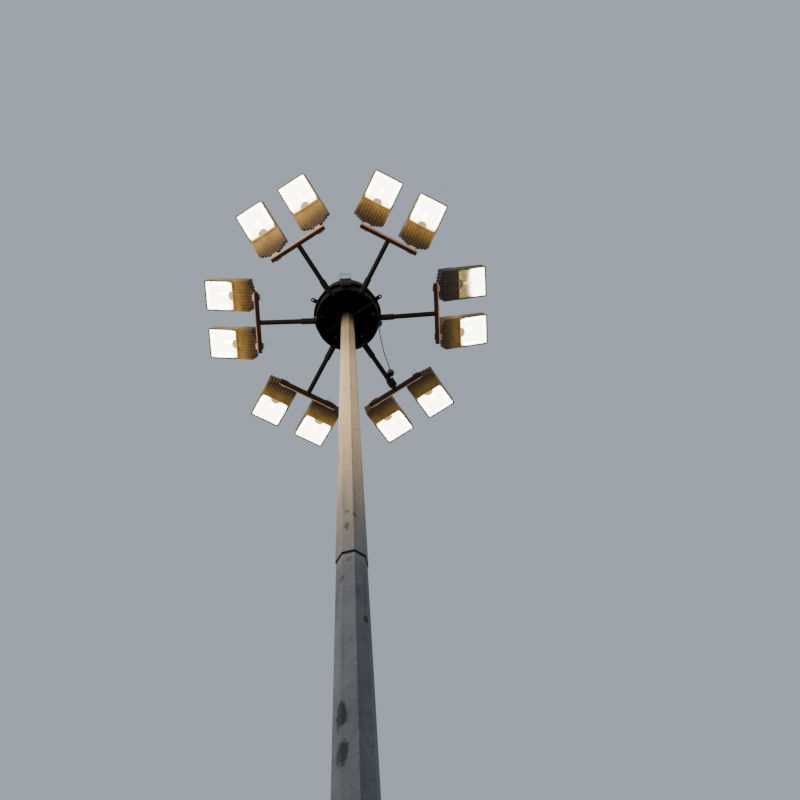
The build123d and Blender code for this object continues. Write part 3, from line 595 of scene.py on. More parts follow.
@dataclass(frozen=True)
class BoxEnamel(Finish):
    """Grey enamel, painted darker at the box's lower edge as shade on its underside."""

    name: str = "box_enamel"
    enamel: Point = (0.24, 0.30, 0.34)
    spot: Point = (0.13, 0.13, 0.12)
    underside_shade: Point = (0.020, 0.018, 0.016)
    underside_shade_heights: Pair = (0.055, 0.004)

    def wire(self, bench: ShaderBench) -> None:
        """Wire the surface."""
        high, low = (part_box("junction_box")[0][2] + rise for rise in self.underside_shade_heights)
        tone = bench.mix(bench.patches(24.0, 6.0, 0.50, (0.74, 0.6)), self.enamel, self.spot)
        # Painted shade: darker at the box's lower edge, with a ragged top.
        edge = bench.math("ADD", bench.height(high, low), bench.level(bench.noise(30.0), -0.25, 0.25))
        bench.put(
            Base_Color=bench.mix(bench.between(edge, 0.2, 0.9), tone, self.underside_shade),
            Roughness=bench.level(bench.noise(12.0), 0.34, 0.55),
        )
        bench.bump((bench.noise(70.0, 2.0), 0.0003))


@dataclass(frozen=True)
class LitBowl(Finish):
    """Hammered reflector with painted light: it glows white-hot outside and softly amber towards the lamp's
    holder, in place of the lamp's light reflected in it.
    """

    start: float
    end: float
    light: Point = (1.0, 0.90, 0.72)
    amber: Point = (0.0490, 0.0252, 0.0042)
    cool: Point = (0.60, 0.48, 0.26)
    crest: Point = (0.90, 0.90, 0.88)
    dent: Point = (0.76, 0.76, 0.74)
    strength: float = 10.0
    gloss: Pair = (0.15, 0.30)

    def wire(self, bench: ShaderBench) -> None:
        """Wire the surface."""
        along, _ = bench.flood_axes()
        hot = bench.math("POWER", bench.between(along, self.start, self.end), 2.2)
        hammered = bench.cells(55.0)
        bench.put(
            Base_Color=bench.mix(hot, self.cool, bench.mix(hammered, self.crest, self.dent)),
            # Painted light: the reflector itself glows, white-hot outside and amber towards the holder.
            Metallic=0.9,
            Roughness=bench.level(hammered, *self.gloss),
            Emission_Color=bench.mix(hot, self.amber, self.light),
            Emission_Strength=self.strength,
        )
        bench.bump((hammered, 0.0003))


@dataclass(frozen=True)
class LitMetal(Finish):
    """Bright metal or quartz that shines with the lamp's light: the quartz tube is the lamp, and on the metal
    shroud the glow is painted light.
    """

    tone: Point
    light: Point
    strength: float

    def wire(self, bench: ShaderBench) -> None:
        """Wire the surface."""
        hammered = bench.cells(55.0)
        bench.put(
            Base_Color=bench.mix(hammered, self.tone, scaled(self.tone, 0.85)),
            Metallic=0.9,
            Roughness=bench.level(hammered, 0.15, 0.30),
            Emission_Color=bench.mix(bench.noise(4.0, 2.0), self.light, scaled(self.light, 0.93)),
            Emission_Strength=self.strength,
        )
        bench.bump((hammered, 0.0006))


FINISHES = (
    MastZinc(),
    DarkPaint("head_paint"),
    DarkPaint("canopy_paint", coat=(0.0042, 0.0030, 0.0026), rusting=0.3),
    DarkPaint("arm_paint", coat=(0.0050, 0.0024, 0.0018), rust=(0.022, 0.008, 0.004)),
    BarPaint("bar_paint", (0.016, 0.0060, 0.0028), (0.046, 0.018, 0.008), (0.026, 0.016, 0.010)),
    BracketPaint("bracket_paint", coat=(0.020, 0.010, 0.006)),
    CastBronze(),
    # For the dim floodlight: its gold by the glass is painted lamp glow, far weaker for its dimmer lamp.
    CastBronze("cast_bronze_dark", (0.085, 0.042, 0.016), (0.024, 0.010, 0.006), dust=(0.10, 0.06, 0.03)),
    PlainSurface("bolt_zinc", (0.52, 0.50, 0.46), (0.22, 0.15, 0.10), 0.85, (0.28, 0.50), 140.0),
    PlainSurface("dull_bolt", (0.24, 0.20, 0.15), (0.10, 0.07, 0.05), 0.7, (0.40, 0.65), 140.0),
    PlainSurface("seam_bead", (0.075, 0.076, 0.084), (0.34, 0.33, 0.32), 0.4, (0.45, 0.7), 26.0),
    PlainSurface("weld_bead", (0.30, 0.28, 0.26), (0.62, 0.60, 0.56), 0.6, (0.35, 0.6), 80.0),
    BoxEnamel(),
    PlainSurface("black_moulding", (0.018, 0.018, 0.019), (0.06, 0.055, 0.05), 0.0, (0.45, 0.65), 90.0),
    PlainSurface("lead_sheath", (0.016, 0.024, 0.034), (0.040, 0.048, 0.055), 0.0, (0.45, 0.60), 110.0),
    # The shrouds glow with painted lamp light; the tubes below are the lamps.
    LitMetal("gold_shroud", (0.62, 0.40, 0.13), (0.85, 0.52, 0.13), 0.85),
    LitMetal("dim_shroud", (0.20, 0.14, 0.05), (0.30, 0.20, 0.04), 0.20),
    ClearSheet("flood_glass", (0.98, 0.97, 0.94), (0.80, 0.74, 0.62)),
    ClearSheet("red_lens", (0.16, 0.006, 0.006), (0.09, 0.020, 0.016), 0.12, 0.5, 0.03),
    LitBowl("lit_bowl", 0.315, 0.420),
    LitBowl(
        "lit_bowl_dim",
        0.450,
        0.570,
        amber=(0.0252, 0.0175, 0.0035),
        cool=(0.16, 0.125, 0.035),
        gloss=(0.55, 0.65),
    ),
    LitMetal("lit_tube", (1.0, 1.0, 1.0), (1.0, 0.95, 0.86), 11.0),
    LitMetal("dim_tube", (1.0, 1.0, 1.0), (0.80, 0.60, 0.20), 1.2),
)
MATERIALS: dict[str, bpy.types.Material] = {}

# Nodes of the frame that stay as they were packed, by finish
NODE_FINISHES = {
    "mast_zinc": "base_flange base_gussets mast_lower_section mast_upper_section door_frame door_cover",
    "head_paint": "head_hub head_ring ring_top_flange canopy_spider lifting_lugs box_straps beacon_plate",
    "arm_paint": "arms arm_sockets",
    "bar_paint": "crossbars",
    "bracket_paint": "flood_brackets",
    "black_moulding": "lead_gland beacon_base arm_box",
    "box_enamel": "junction_box junction_box_lid",
    "canopy_paint": "canopy",
    "bolt_zinc": "tilt_pivots",
    "red_lens": "beacon_lens",
}


class Turned(Enum):
    """Turned and hexagonal pieces: how many sides, and radius and height up one side."""

    DOOR_SCREW = (24, ((0.009, -0.002), (0.009, 0.0015), (0.006, 0.004), (0.0035, 0.004), (0.0028, 0.002)))
    LOCK_BARREL = (32, ((0.014, -0.002), (0.014, 0.003), (0.012, 0.005), (0.005, 0.005), (0.0045, 0.001)))
    EARTH_NUT = (6, ((0.019, -0.002), (0.019, 0.006), (0.017, 0.008)))
    EARTH_STUD = (16, ((0.006, 0.0), (0.006, 0.024), (0.005, 0.026)))
    FLANGE_WASHER = (24, ((0.017, 0.0), (0.017, 0.003)))
    FLANGE_NUT = (6, ((0.0135, 0.003), (0.0135, 0.012), (0.012, 0.014)))
    FLANGE_STUD = (12, ((0.007, 0.013), (0.007, 0.024), (0.006, 0.026)))
    SLEEVE_BOLT = (6, ((0.014, -0.002), (0.014, 0.010), (0.012, 0.012)))
    RING_WASHER = (24, ((0.016, -0.001), (0.016, 0.003)))
    RING_BOLT = (6, ((0.013, 0.003), (0.013, 0.011), (0.0115, 0.013)))
    SKIRT_SCREW = (16, ((0.008, -0.003), (0.008, 0.001), (0.006, 0.003), (0.0, 0.0035)))
    SOCKET_BOLT = (6, ((0.0150, 0.0), (0.0150, 0.010), (0.0135, 0.012)))
    SOCKET_STUD = (12, ((0.0065, 0.011), (0.0065, 0.018)))
    LIT_TUBE = (
        20,
        ((0.013, 0.0), (0.015, 0.012), (0.015, 0.150), (0.012, 0.164), (0.005, 0.172), (0.0, 0.173)),
    )
    COVER_SCREW = (16, ((0.007, -0.001), (0.007, 0.002), (0.005, 0.004), (0.0028, 0.004), (0.0024, 0.002)))
    SUPPLY_NUT = (6, ((0.015, -0.006), (0.015, 0.014), (0.013, 0.016)))
    SUPPLY_CAP = (16, ((0.011, 0.014), (0.011, 0.026), (0.007, 0.032)))
    BOX_SCREW = (16, ((0.006, -0.001), (0.006, 0.002), (0.004, 0.0035)))
    BOX_NUT = (6, ((0.016, -0.003), (0.016, 0.010)))
    BOX_CAP = (16, ((0.012, 0.009), (0.012, 0.020), (0.008, 0.025)))
    LENS_BAND = (
        32,
        ((0.0335, 0.0), (0.0355, 0.0), (0.0362, 0.003), (0.0355, 0.006), (0.0335, 0.006), (0.0335, 0.0)),
    )
    LID_SCREW = (16, ((0.005, 0.0), (0.005, 0.002), (0.0, 0.003)))


class Metalwork:
    """Gathers simple machined shapes into one mesh."""

    def __init__(self) -> None:
        """Start with no faces."""
        self.mesh = bmesh.new()

    def block(self, size: Point, at: Matrix, bevel: float) -> None:
        """Add a block with eased edges.

        Args:
            size: length, width and height.
            at: matrix of its middle.
            bevel: width of the eased edge.
        """
        made = bmesh.ops.create_cube(self.mesh, size=1.0, matrix=at @ Matrix.Diagonal((*size, 1.0)))
        edges = list(dict.fromkeys(edge for vertex in made["verts"] for edge in vertex.link_edges))
        bmesh.ops.bevel(self.mesh, geom=edges, offset=bevel, segments=2, affect="EDGES", profile=0.6)

    def lathe(self, at: Matrix, *pieces: Turned) -> None:
        """Add turned pieces, each closed to the axis unless its profile ends where it starts.

        Args:
            at: matrix whose Z is the turning axis.
            *pieces: what is turned.
        """
        for sides, profile in (piece.value for piece in pieces):
            points = list(profile)
            if points[0] != points[-1]:
                ends = (points[0], points[-1])
                first, last = ([(0.0, height)] if radius > 0 else [] for radius, height in ends)
                points = first + points + last
            rings = []
            for radius, height in points:
                spots = circle_round(radius, height, sides if radius > 0 else 1)
                rings.append([self.mesh.verts.new(at @ spot) for spot in spots])
            self.skin(rings)

    def skin(self, rings: Sequence[list[bmesh.types.BMVert]], capped: bool = False) -> None:
        """Join rings of vertices with faces.

        Args:
            rings: rings of equal length, or single points at an end.
            capped: close the first and the last ring.
        """
        for low, high in zip(rings, rings[1:]):
            below, above = len(low), len(high)
            count = max(below, above)
            for side in range(count):
                after = (side + 1) % count
                corners = (low[side % below], low[after % below], high[after % above], high[side % above])
                unique = list(dict.fromkeys(corners))
                if len(unique) > 2:
                    self.mesh.faces.new(unique)
        if capped:
            self.mesh.faces.new(list(reversed(rings[0])))
            self.mesh.faces.new(rings[-1])

    def loft(
        self, outlines: Sequence[Sequence[Point]], at: Matrix, capped: bool = True
    ) -> list[list[bmesh.types.BMVert]]:
        """Add a skin through outlines with the same number of points.

        Args:
            outlines: closed outlines, in order.
            at: matrix for all the points.
            capped: close both ends.

        Returns:
            The ring of vertices of each outline.
        """
        rings = [[self.mesh.verts.new(at @ Vector(point)) for point in outline] for outline in outlines]
        self.skin(rings, capped)
        return rings

    def done(self, name: str, finish: str, body: str = TOWER, smooth: float = 35.0) -> bpy.types.Object:
        """Close the mesh, dress it and let it ride on a body.

        Args:
            name: name of the piece.
            finish: name of its finish.
            body: body of the frame that it moves with.
            smooth: edges under this angle shade smoothly, in degrees.

        Returns:
            The finished object.
        """
        bmesh.ops.recalc_face_normals(self.mesh, faces=self.mesh.faces)
        mesh = bpy.data.meshes.new(name)
        self.mesh.to_mesh(mesh)
        self.mesh.free()
        return dress(name, mesh, finish, body, smooth)


def dress(name: str, mesh: bpy.types.Mesh, finish: str, body: str, smooth: float) -> bpy.types.Object:
    """Turn a mesh into a finished piece of the tower.

    Args:
        name: name of the piece.
        mesh: its mesh, in the frame's axes.
        finish: name of its finish.
        body: body of the frame that it moves with.
        smooth: edges under this angle shade smoothly, in degrees.

    Returns:
        The finished object.
    """
    mesh.name = name
    mesh.materials.clear()
    mesh.materials.append(MATERIALS[finish])
    piece = bpy.data.objects.new(name, mesh)
    bpy.context.scene.collection.objects.link(piece)
    mesh.shade_smooth()
    mesh.set_sharp_from_angle(angle=math.radians(smooth))
    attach(piece, body)
    LOG.info("%s: %d faces on %s", name, len(mesh.polygons), body)
    return piece


class TreeBench(Bench):
    """Builds one geometry tree with named inputs, and grows pieces with it."""

    def __init__(self, name: str, inputs: "dict[str, int | float]") -> None:
        """Start a tree.

        Args:
            name: name of the tree.
            inputs: name and usual value of each input, besides the geometry and the finish.
        """
        self.tree = bpy.data.node_groups.new(name, "GeometryNodeTree")
        sockets = self.tree.interface
        for way in ("INPUT", "OUTPUT"):
            sockets.new_socket("Geometry", in_out=way, socket_type="NodeSocketGeometry")
        for label, value in inputs.items():
            kind = "NodeSocketInt" if isinstance(value, int) else "NodeSocketFloat"
            sockets.new_socket(label, in_out="INPUT", socket_type=kind).default_value = value
        sockets.new_socket("Finish", in_out="INPUT", socket_type="NodeSocketMaterial")
        self.entry = self.tree.nodes.new("NodeGroupInput")

    def of(self, label: str) -> Socket:
        """The wire of a named input."""
        return self.entry.outputs[label]

    def upright(self, value: Wire) -> Socket:
        """A vector along Z."""
        return self.node("ShaderNodeCombineXYZ", Z=value).outputs[0]

    def random(self, low: "Wire | None", high: float) -> Socket:
        """A random number between two for each point, from the tree's seed."""
        settings = {"data_type": "FLOAT", "Seed": self.of("Seed")}
        return self.node("FunctionNodeRandomValue", None, None, low, high, **settings).outputs[1]

    def finish(self, geometry: Socket) -> "TreeBench":
        """End the tree with real geometry in its finish."""
        real = self.node("GeometryNodeRealizeInstances", Geometry=geometry)
        dressed = self.node("GeometryNodeSetMaterial", Geometry=real.outputs[0], Material=self.of("Finish"))
        self.node("NodeGroupOutput", dressed.outputs[0])
        return self

    def grow(
        self,
        name: str,
        finish: str,
        lines: Sequence[Sequence[Vector]],
        closed: bool = False,
        **values: "int | float",
    ) -> bpy.types.Object:
        """Run the tree on lines or loose points and keep the result as a plain piece of the tower.

        Args:
            name: name of the piece.
            finish: name of its finish.
            lines: the points of each line, or one point each.
            closed: join each line's end to its start.
            **values: named inputs, with underscores for spaces.

        Returns:
            The finished object.
        """
        points, edges = [], []
        for line in lines:
            first = len(points)
            points += [tuple(point) for point in line]
            edges += [(first + step, first + step + 1) for step in range(len(line) - 1)]
            if closed:
                edges.append((first + len(line) - 1, first))
        base = bpy.data.meshes.new(name)
        base.from_pydata(points, edges, [])
        host = bpy.data.objects.new(name + "_host", base)
        bpy.context.scene.collection.objects.link(host)
        grown = host.modifiers.new("grow", "NODES")
        grown.node_group = self.tree
        sockets = {
            item.name: item.identifier
            for item in self.tree.interface.items_tree
            if item.item_type == "SOCKET" and item.in_out == "INPUT"
        }
        grown[sockets["Finish"]] = MATERIALS[finish]
        for key, value in values.items():
            grown[sockets[key.replace("_", " ")]] = value
        depsgraph = bpy.context.evaluated_depsgraph_get()
        mesh = bpy.data.meshes.new_from_object(host.evaluated_get(depsgraph), depsgraph=depsgraph)
        host.modifiers.remove(grown)
        bpy.data.objects.remove(host)
        return dress(name, mesh, finish, TOWER, 30.0)


def bolt_tree() -> TreeBench:
    """Geometry tree that stands a washer, a hexagon and a stud end on each point."""
    parts = {"Washer": (24, 0.015, 0.002), "Head": (6, 0.012, 0.008), "Stud": (12, 0.005, 0.010)}
    inputs: dict[str, "int | float"] = {"Seed": 7}
    for label, (_, radius, depth) in parts.items():
        inputs |= {label + " Radius": radius, label + " Depth": depth}
    bench = TreeBench("bolts_on_spots", inputs)
    joined = bench.node("GeometryNodeJoinGeometry")
    base: Wire = 0.0
    pieces = []
    for label, (sides, _, _) in parts.items():
        radius, depth = bench.of(label + " Radius"), bench.of(label + " Depth")
        shape = bench.node("GeometryNodeMeshCylinder", Vertices=sides, Radius=radius, Depth=depth)
        place = bench.upright(bench.math("MULTIPLY_ADD", depth, 0.5, base))
        moved = bench.node("GeometryNodeTransform", Geometry=shape.outputs[0], Translation=place)
        pieces.append(moved.outputs[0])
        base = bench.math("ADD", depth, base)
    for piece in pieces:
        feed(joined.inputs[0], piece)
    turned = bench.upright(bench.random(None, math.tau))
    stamped = bench.node(
        "GeometryNodeInstanceOnPoints",
        Points=bench.of("Geometry"),
        Instance=joined.outputs[0],
        Rotation=turned,
    )
    return bench.finish(stamped.outputs[0])


def bead_tree() -> TreeBench:
    """Geometry tree that lays a rippled weld bead along the edges of a mesh."""
    sizes = {"Bead Radius": 0.004, "Ripple Length": 0.02, "Ripple Share": 0.35, "Seed": 3}
    bench = TreeBench("weld_beads", sizes)
    line = bench.node("GeometryNodeMeshToCurve", Mesh=bench.of("Geometry"))
    even = bench.node(
        "GeometryNodeResampleCurve", mode="LENGTH", Curve=line.outputs[0], Length=bench.of("Ripple Length")
    )
    swell = bench.random(bench.math("SUBTRACT", 1.0, bench.of("Ripple Share")), 1.0)
    section = bench.node("GeometryNodeCurvePrimitiveCircle", Resolution=6, Radius=bench.of("Bead Radius"))
    bead = bench.node(
        "GeometryNodeCurveToMesh",
        Curve=even.outputs[0],
        Profile_Curve=section.outputs[0],
        Fill_Caps=True,
        Scale=swell,
    )
    return bench.finish(bead.outputs[0])


def rib_tree() -> TreeBench:
    """Geometry tree that stands ribs round a ring, each leaning against its axis."""
    sizes = {"Count": 24, "Ring Radius": 0.05, "Rib Width": 0.002, "Rib Depth": 0.003, "Rib Height": 0.04}
    bench = TreeBench("ring_of_ribs", sizes)
    ring = bench.node("GeometryNodeMeshCircle", Vertices=bench.of("Count"), Radius=bench.of("Ring Radius"))
    sides = (bench.of("Rib " + side) for side in ("Depth", "Width", "Height"))
    size = bench.node("ShaderNodeCombineXYZ", *sides)
    rib = bench.node("GeometryNodeMeshCube", Size=size.outputs[0])
    place = bench.node("GeometryNodeInputPosition")
    facing = bench.node("FunctionNodeAlignRotationToVector", axis="X", Vector=place.outputs[0])
    stamped = bench.node(
        "GeometryNodeInstanceOnPoints",
        Points=ring.outputs[0],
        Instance=rib.outputs[0],
        Rotation=facing.outputs[0],
    )
    return bench.finish(stamped.outputs[0])


@dataclass
class Trees:
    """The geometry trees that the sub-assemblies share."""

    bolts: TreeBench = field(default_factory=bolt_tree)
    beads: TreeBench = field(default_factory=bead_tree)
    ribs: TreeBench = field(default_factory=rib_tree)


@dataclass
class Base:
    """Anchor studs, nuts and welds at the foot of the mast, and the access door's fittings."""

    trees: Trees
    bolt_circle: float = 0.250
    weld_height: float = FLANGE_TOP + 0.002
    gusset_half: float = 0.0065
    gusset_toe: float = 0.283
    gusset_top: float = 0.180
    door_height: float = 0.900
    door_flat: int = -3
    door_length: float = 0.450
    screw_inset: float = 0.012
    lock_drop: float = 0.060
    tab: Point = (0.040, 0.012, 0.010)
    tab_place: Point = (0.0, -0.060, 0.004)
    stud_drop: float = 0.110
    cover_stand: float = 0.010

    def nuts(self) -> None:
        """Nuts, washers and stud ends on the flange."""
        self.trees.bolts.grow(
            "anchor_nuts",
            "bolt_zinc",
            [[spot_round(mast_turn(number), self.bolt_circle, FLANGE_TOP)] for number in range(MAST_SIDES)],
            Washer_Radius=0.031,
            Washer_Depth=0.005,
            Head_Radius=0.0275,
            Head_Depth=0.026,
            Stud_Radius=0.0165,
            Stud_Depth=0.030,
            Seed=11,
        )

    def welds(self) -> None:
        """Bead round the mast's foot and up both sides of each gusset."""
        flats = mast_flats(FLANGE_TOP)
        corner = corner_reach(flats)
        foot = [spot_round(mast_turn(number), corner, self.weld_height) for number in range(MAST_SIDES)]
        run = (
            (self.gusset_toe, self.weld_height),
            (flats / 2 + 0.002, self.weld_height),
            (mast_flats(self.gusset_top) / 2 + 0.002, self.gusset_top + 0.002),
        )
        lines = []
        for number in range(MAST_SIDES):
            turn = mast_turn(number + 0.5)
            for side in (-self.gusset_half, self.gusset_half):
                aside = spot_round(turn + math.pi / 2, side, 0.0)
                lines.append([spot_round(turn, reach, height) + aside for reach, height in run])
        self.trees.beads.grow("foot_weld", "weld_bead", [foot], True, Bead_Radius=0.006)
        self.trees.beads.grow("gusset_welds", "weld_bead", lines, Bead_Radius=0.0045)

    def door_place(self) -> Matrix:
        """Matrix on the cover's outer face: X across the door, Y up and Z outwards."""
        turn = mast_turn(self.door_flat + 0.5)
        out = spot_round(turn, 1.0, TAPER / 2).normalized()
        across = spot_round(turn + math.pi / 2, 1.0, 0.0)
        reach = mast_flats(self.door_height) / 2 + self.cover_stand
        stand = Matrix.Translation(spot_round(turn, reach, self.door_height))
        return stand @ Matrix((across, out.cross(across), out)).transposed().to_4x4()

    def door(self) -> None:
        """Cover screws and a lock barrel, a lifting tab, and the earth stud below the door."""
        at = self.door_place()
        half = self.door_length / 2 - self.screw_inset
        screws, tab, stud = Metalwork(), Metalwork(), Metalwork()
        for up in (-half, half):
            screws.lathe(at @ shift(0.0, up, 0.0), Turned.DOOR_SCREW)
        screws.lathe(at @ shift(0.0, half - self.lock_drop, 0.0), Turned.LOCK_BARREL)
        tab.block(self.tab, at @ shift(*self.tab_place), bevel=0.002)
        below = shift(0.0, -self.door_length / 2 - self.stud_drop, -self.cover_stand)
        stud.lathe(at @ below, Turned.EARTH_NUT, Turned.EARTH_STUD)
        screws.done("door_screws", "bolt_zinc")
        tab.done("door_tab", "mast_zinc")
        stud.done("earth_stud", "bolt_zinc")

    def build(self) -> None:
        """Build all the base's pieces."""
        self.nuts()
        self.welds()
        self.door()


@dataclass
class Mast:
    """Seam welds along two corners of the mast, and the edge of the slip joint, whose near-black paint is
    painted shadow of the joint's gap.
    """

    trees: Trees
    seam_corners: tuple[int, ...] = (2, 6)
    seam_steps: int = 8
    seam_depth: float = 0.001
    margin: float = 0.05
    seam_top: float = MAST_TOP - 0.75

    def seam(self, corner: int, low: float, high: float) -> list[Vector]:
        """Points up one corner of the octagon.

        Args:
            corner: which corner, counted from the first.
            low: lower height.
            high: upper height.

        Returns:
            Points on the corner's edge.
        """
        points = []
        for step in range(self.seam_steps + 1):
            height = low + (high - low) * step / self.seam_steps
            reach = corner_reach(mast_flats(height)) - self.seam_depth
            points.append(spot_round(mast_turn(corner), reach, height))
        return points

    def build(self) -> None:
        """Build the seams and the joint's bead."""
        beads = self.trees.beads
        lines = []
        for corner in self.seam_corners:
            lines.append(self.seam(corner, FLANGE_TOP + self.margin, JOINT_HEIGHT - self.margin))
            lines.append(self.seam(corner, JOINT_HEIGHT + self.margin / 5, self.seam_top))
        sizes = {"Bead_Radius": 0.0036, "Ripple_Length": 0.045, "Ripple_Share": 0.85}
        beads.grow("mast_seams", "seam_bead", lines, **sizes)
        # The joint's edge is a real bead, but its near-black head paint is painted shadow of the gap under
        # the upper section.
        reach = corner_reach(upper_flats(JOINT_HEIGHT)) - 0.002
        ring = [spot_round(mast_turn(number), reach, JOINT_HEIGHT + 0.001) for number in range(MAST_SIDES)]
        sizes = {"Bead_Radius": 0.0026, "Ripple_Length": 0.05, "Ripple_Share": 0.3}
        beads.grow("joint_edge", "head_paint", [ring], True, **sizes)


@dataclass
class Head:
    """Bolts, rim beads and welds of the hub, the ring and the canopy."""

    trees: Trees
    bolt_reach: float = 0.350
    side_bolt: float = RING_TOP - 0.055
    sleeve_flat: float = 3.5
    sleeve_bolt: float = 19.90
    screw_count: int = 12
    screw_rise: float = 0.042
    canopy_radius: float = 0.4553
    canopy_lean: float = 65.0 / 510.0
    socket_bolts: Pair = (0.565, 0.495)
    bolt_rise: float = 0.039
    socket_weld: float = 0.0405
    weld_steps: int = 24
    plug: Point = (0.0565, 0.003, 0.0565)

    def canopy(self) -> None:
        """Bolts under and round the ring's top, screws round the canopy's skirt and its rolled rim."""
        bolts, screws = Metalwork(), Metalwork()
        for arm in range(ARM_COUNT):
            at = arm_place(arm) @ shift(self.bolt_reach, 0.0, RING_TOP)
            place = Matrix.Translation(at.translation) @ HANGING
            bolts.lathe(place, Turned.FLANGE_WASHER, Turned.FLANGE_NUT, Turned.FLANGE_STUD)
        turn = mast_turn(self.sleeve_flat)
        spot = spot_round(turn, mast_flats(self.sleeve_bolt) / 2 + 0.0003, self.sleeve_bolt)
        bolts.lathe(Matrix.Translation(spot) @ Matrix.Rotation(turn, 4, "Z") @ LYING, Turned.SLEEVE_BOLT)
        for arm in range(ARM_COUNT):
            place = arm_place(arm) @ shift(RING_RADIUS, 0.0, self.side_bolt) @ LYING
            bolts.lathe(place, Turned.RING_WASHER, Turned.RING_BOLT)
        skirt = self.canopy_radius - 0.0003 - self.screw_rise * self.canopy_lean
        for number in range(self.screw_count):
            around = Matrix.Rotation(math.tau * (number + 0.5) / self.screw_count, 4, "Z")
            screws.lathe(around @ shift(skirt, 0.0, CANOPY_RIM + self.screw_rise) @ LYING, Turned.SKIRT_SCREW)
        bolts.done("flange_bolts", "dull_bolt")
        screws.done("skirt_screws", "bolt_zinc")
        rim = circle_round(self.canopy_radius - 0.0055, CANOPY_RIM + 0.004)
        sizes = {"Bead_Radius": 0.0040, "Ripple_Length": 0.04, "Ripple_Share": 0.02}
        self.trees.beads.grow("canopy_rim", "canopy_paint", [rim], True, **sizes)

    def arms(self) -> None:
        """Clamping bolts on top of the sockets and end plugs in the crossbars."""
        bolts, plugs = Metalwork(), Metalwork()
        for arm in range(ARM_COUNT):
            turn = arm_place(arm)
            for reach in self.socket_bolts:
                middle = shift(reach, 0.0, arm_axis(reach)) @ Matrix.Rotation(-ARM_SLOPE, 4, "Y")
                at = turn @ middle @ shift(0.0, 0.0, self.bolt_rise)
                bolts.lathe(at, Turned.SOCKET_BOLT, Turned.SOCKET_STUD)
            for side in (-1, 1):
                inset = side * (BAR_LENGTH / 2 - self.plug[1] / 2)
                plugs.block(self.plug, turn @ shift(BAR_RADIUS, inset, BAR_HEIGHT), bevel=0.001)
        bolts.done("socket_bolts", "head_paint")
        plugs.done("crossbar_plugs", "black_moulding")

    def weld(self, arm: int, radius: float, reach: float) -> list[Vector]:
        """Points of a bead round an arm or its socket.

        Args:
            arm: which arm, counted from 0.
            radius: radius of the bead.
            reach: distance from the mast's axis, where the ring's radius makes it follow the ring.

        Returns:
            The points, all round.
        """
        points = []
        for step in range(self.weld_steps):
            angle = math.tau * step / self.weld_steps
            across = radius * math.cos(angle)
            dip = RING_RADIUS - math.sqrt(RING_RADIUS**2 - across**2) if reach == RING_RADIUS else 0.0
            height = arm_axis(reach) + radius * math.sin(angle)
            points.append(arm_place(arm) @ Vector((reach - dip + 0.001, across, height)))
        return points

    def welds(self) -> None:
        """Beads where the sockets meet the ring and the arms meet the crossbars, and the ring's rim."""
        beads = self.trees.beads
        ends = ((self.socket_weld, RING_RADIUS), (ARM_DIAMETER / 2 + 0.001, BAR_RADIUS - BAR_SIZE / 2))
        lines = [self.weld(arm, radius, reach) for arm in range(ARM_COUNT) for radius, reach in ends]
        beads.grow("arm_welds", "head_paint", lines, True, Bead_Radius=0.0042, Ripple_Length=0.012)
        rim = circle_round(RING_RADIUS - 0.004, RING_BOTTOM + 0.0035)
        sizes = {"Bead_Radius": 0.0034, "Ripple_Length": 0.04, "Ripple_Share": 0.05}
        beads.grow("ring_rim", "head_paint", [rim], True, **sizes)

    def build(self) -> None:
        """Build all the head's pieces."""
        self.canopy()
        self.arms()
        self.welds()


@dataclass
class Saddles:
    """Bolts that hold each floodlight's saddle on its crossbar."""

    trees: Trees
    top: float = BAR_TOP + 0.008
    away: Pair = (-0.036, 0.048)

    def build(self) -> None:
        """Build the bolts, inside and outside each bracket's ears."""
        spots = []
        for arm in range(ARM_COUNT):
            for side in (-FLOOD_OFFSET, FLOOD_OFFSET):
                for away in self.away:
                    spots.append([arm_place(arm) @ Vector((BAR_RADIUS + away, side, self.top))])
        self.trees.bolts.grow(
            "saddle_bolts",
            "bolt_zinc",
            spots,
            Washer_Radius=0.0062,
            Washer_Depth=0.001,
            Head_Radius=0.0058,
            Head_Depth=0.005,
            Stud_Radius=0.003,
            Stud_Depth=0.003,
            Seed=5,
        )


def rounded_outline(size: Pair, corner: float, middle: float, height: float, steps: int = 6) -> list[Point]:
    """A level rounded rectangle.

    Args:
        size: length along X and width along Y.
        corner: radius of its corners.
        middle: X of its middle.
        height: Z of its points.
        steps: points on each corner.

    Returns:
        The points, anticlockwise from above.
    """
    points = []
    for quarter, (right, up) in enumerate(((1, 1), (-1, 1), (-1, -1), (1, -1))):
        for step in range(steps):
            turn = math.pi / 2 * (quarter + step / (steps - 1))
            x = right * (size[0] / 2 - corner) + corner * math.cos(turn)
            points.append((x + middle, up * (size[1] / 2 - corner) + corner * math.sin(turn), height))
    return points


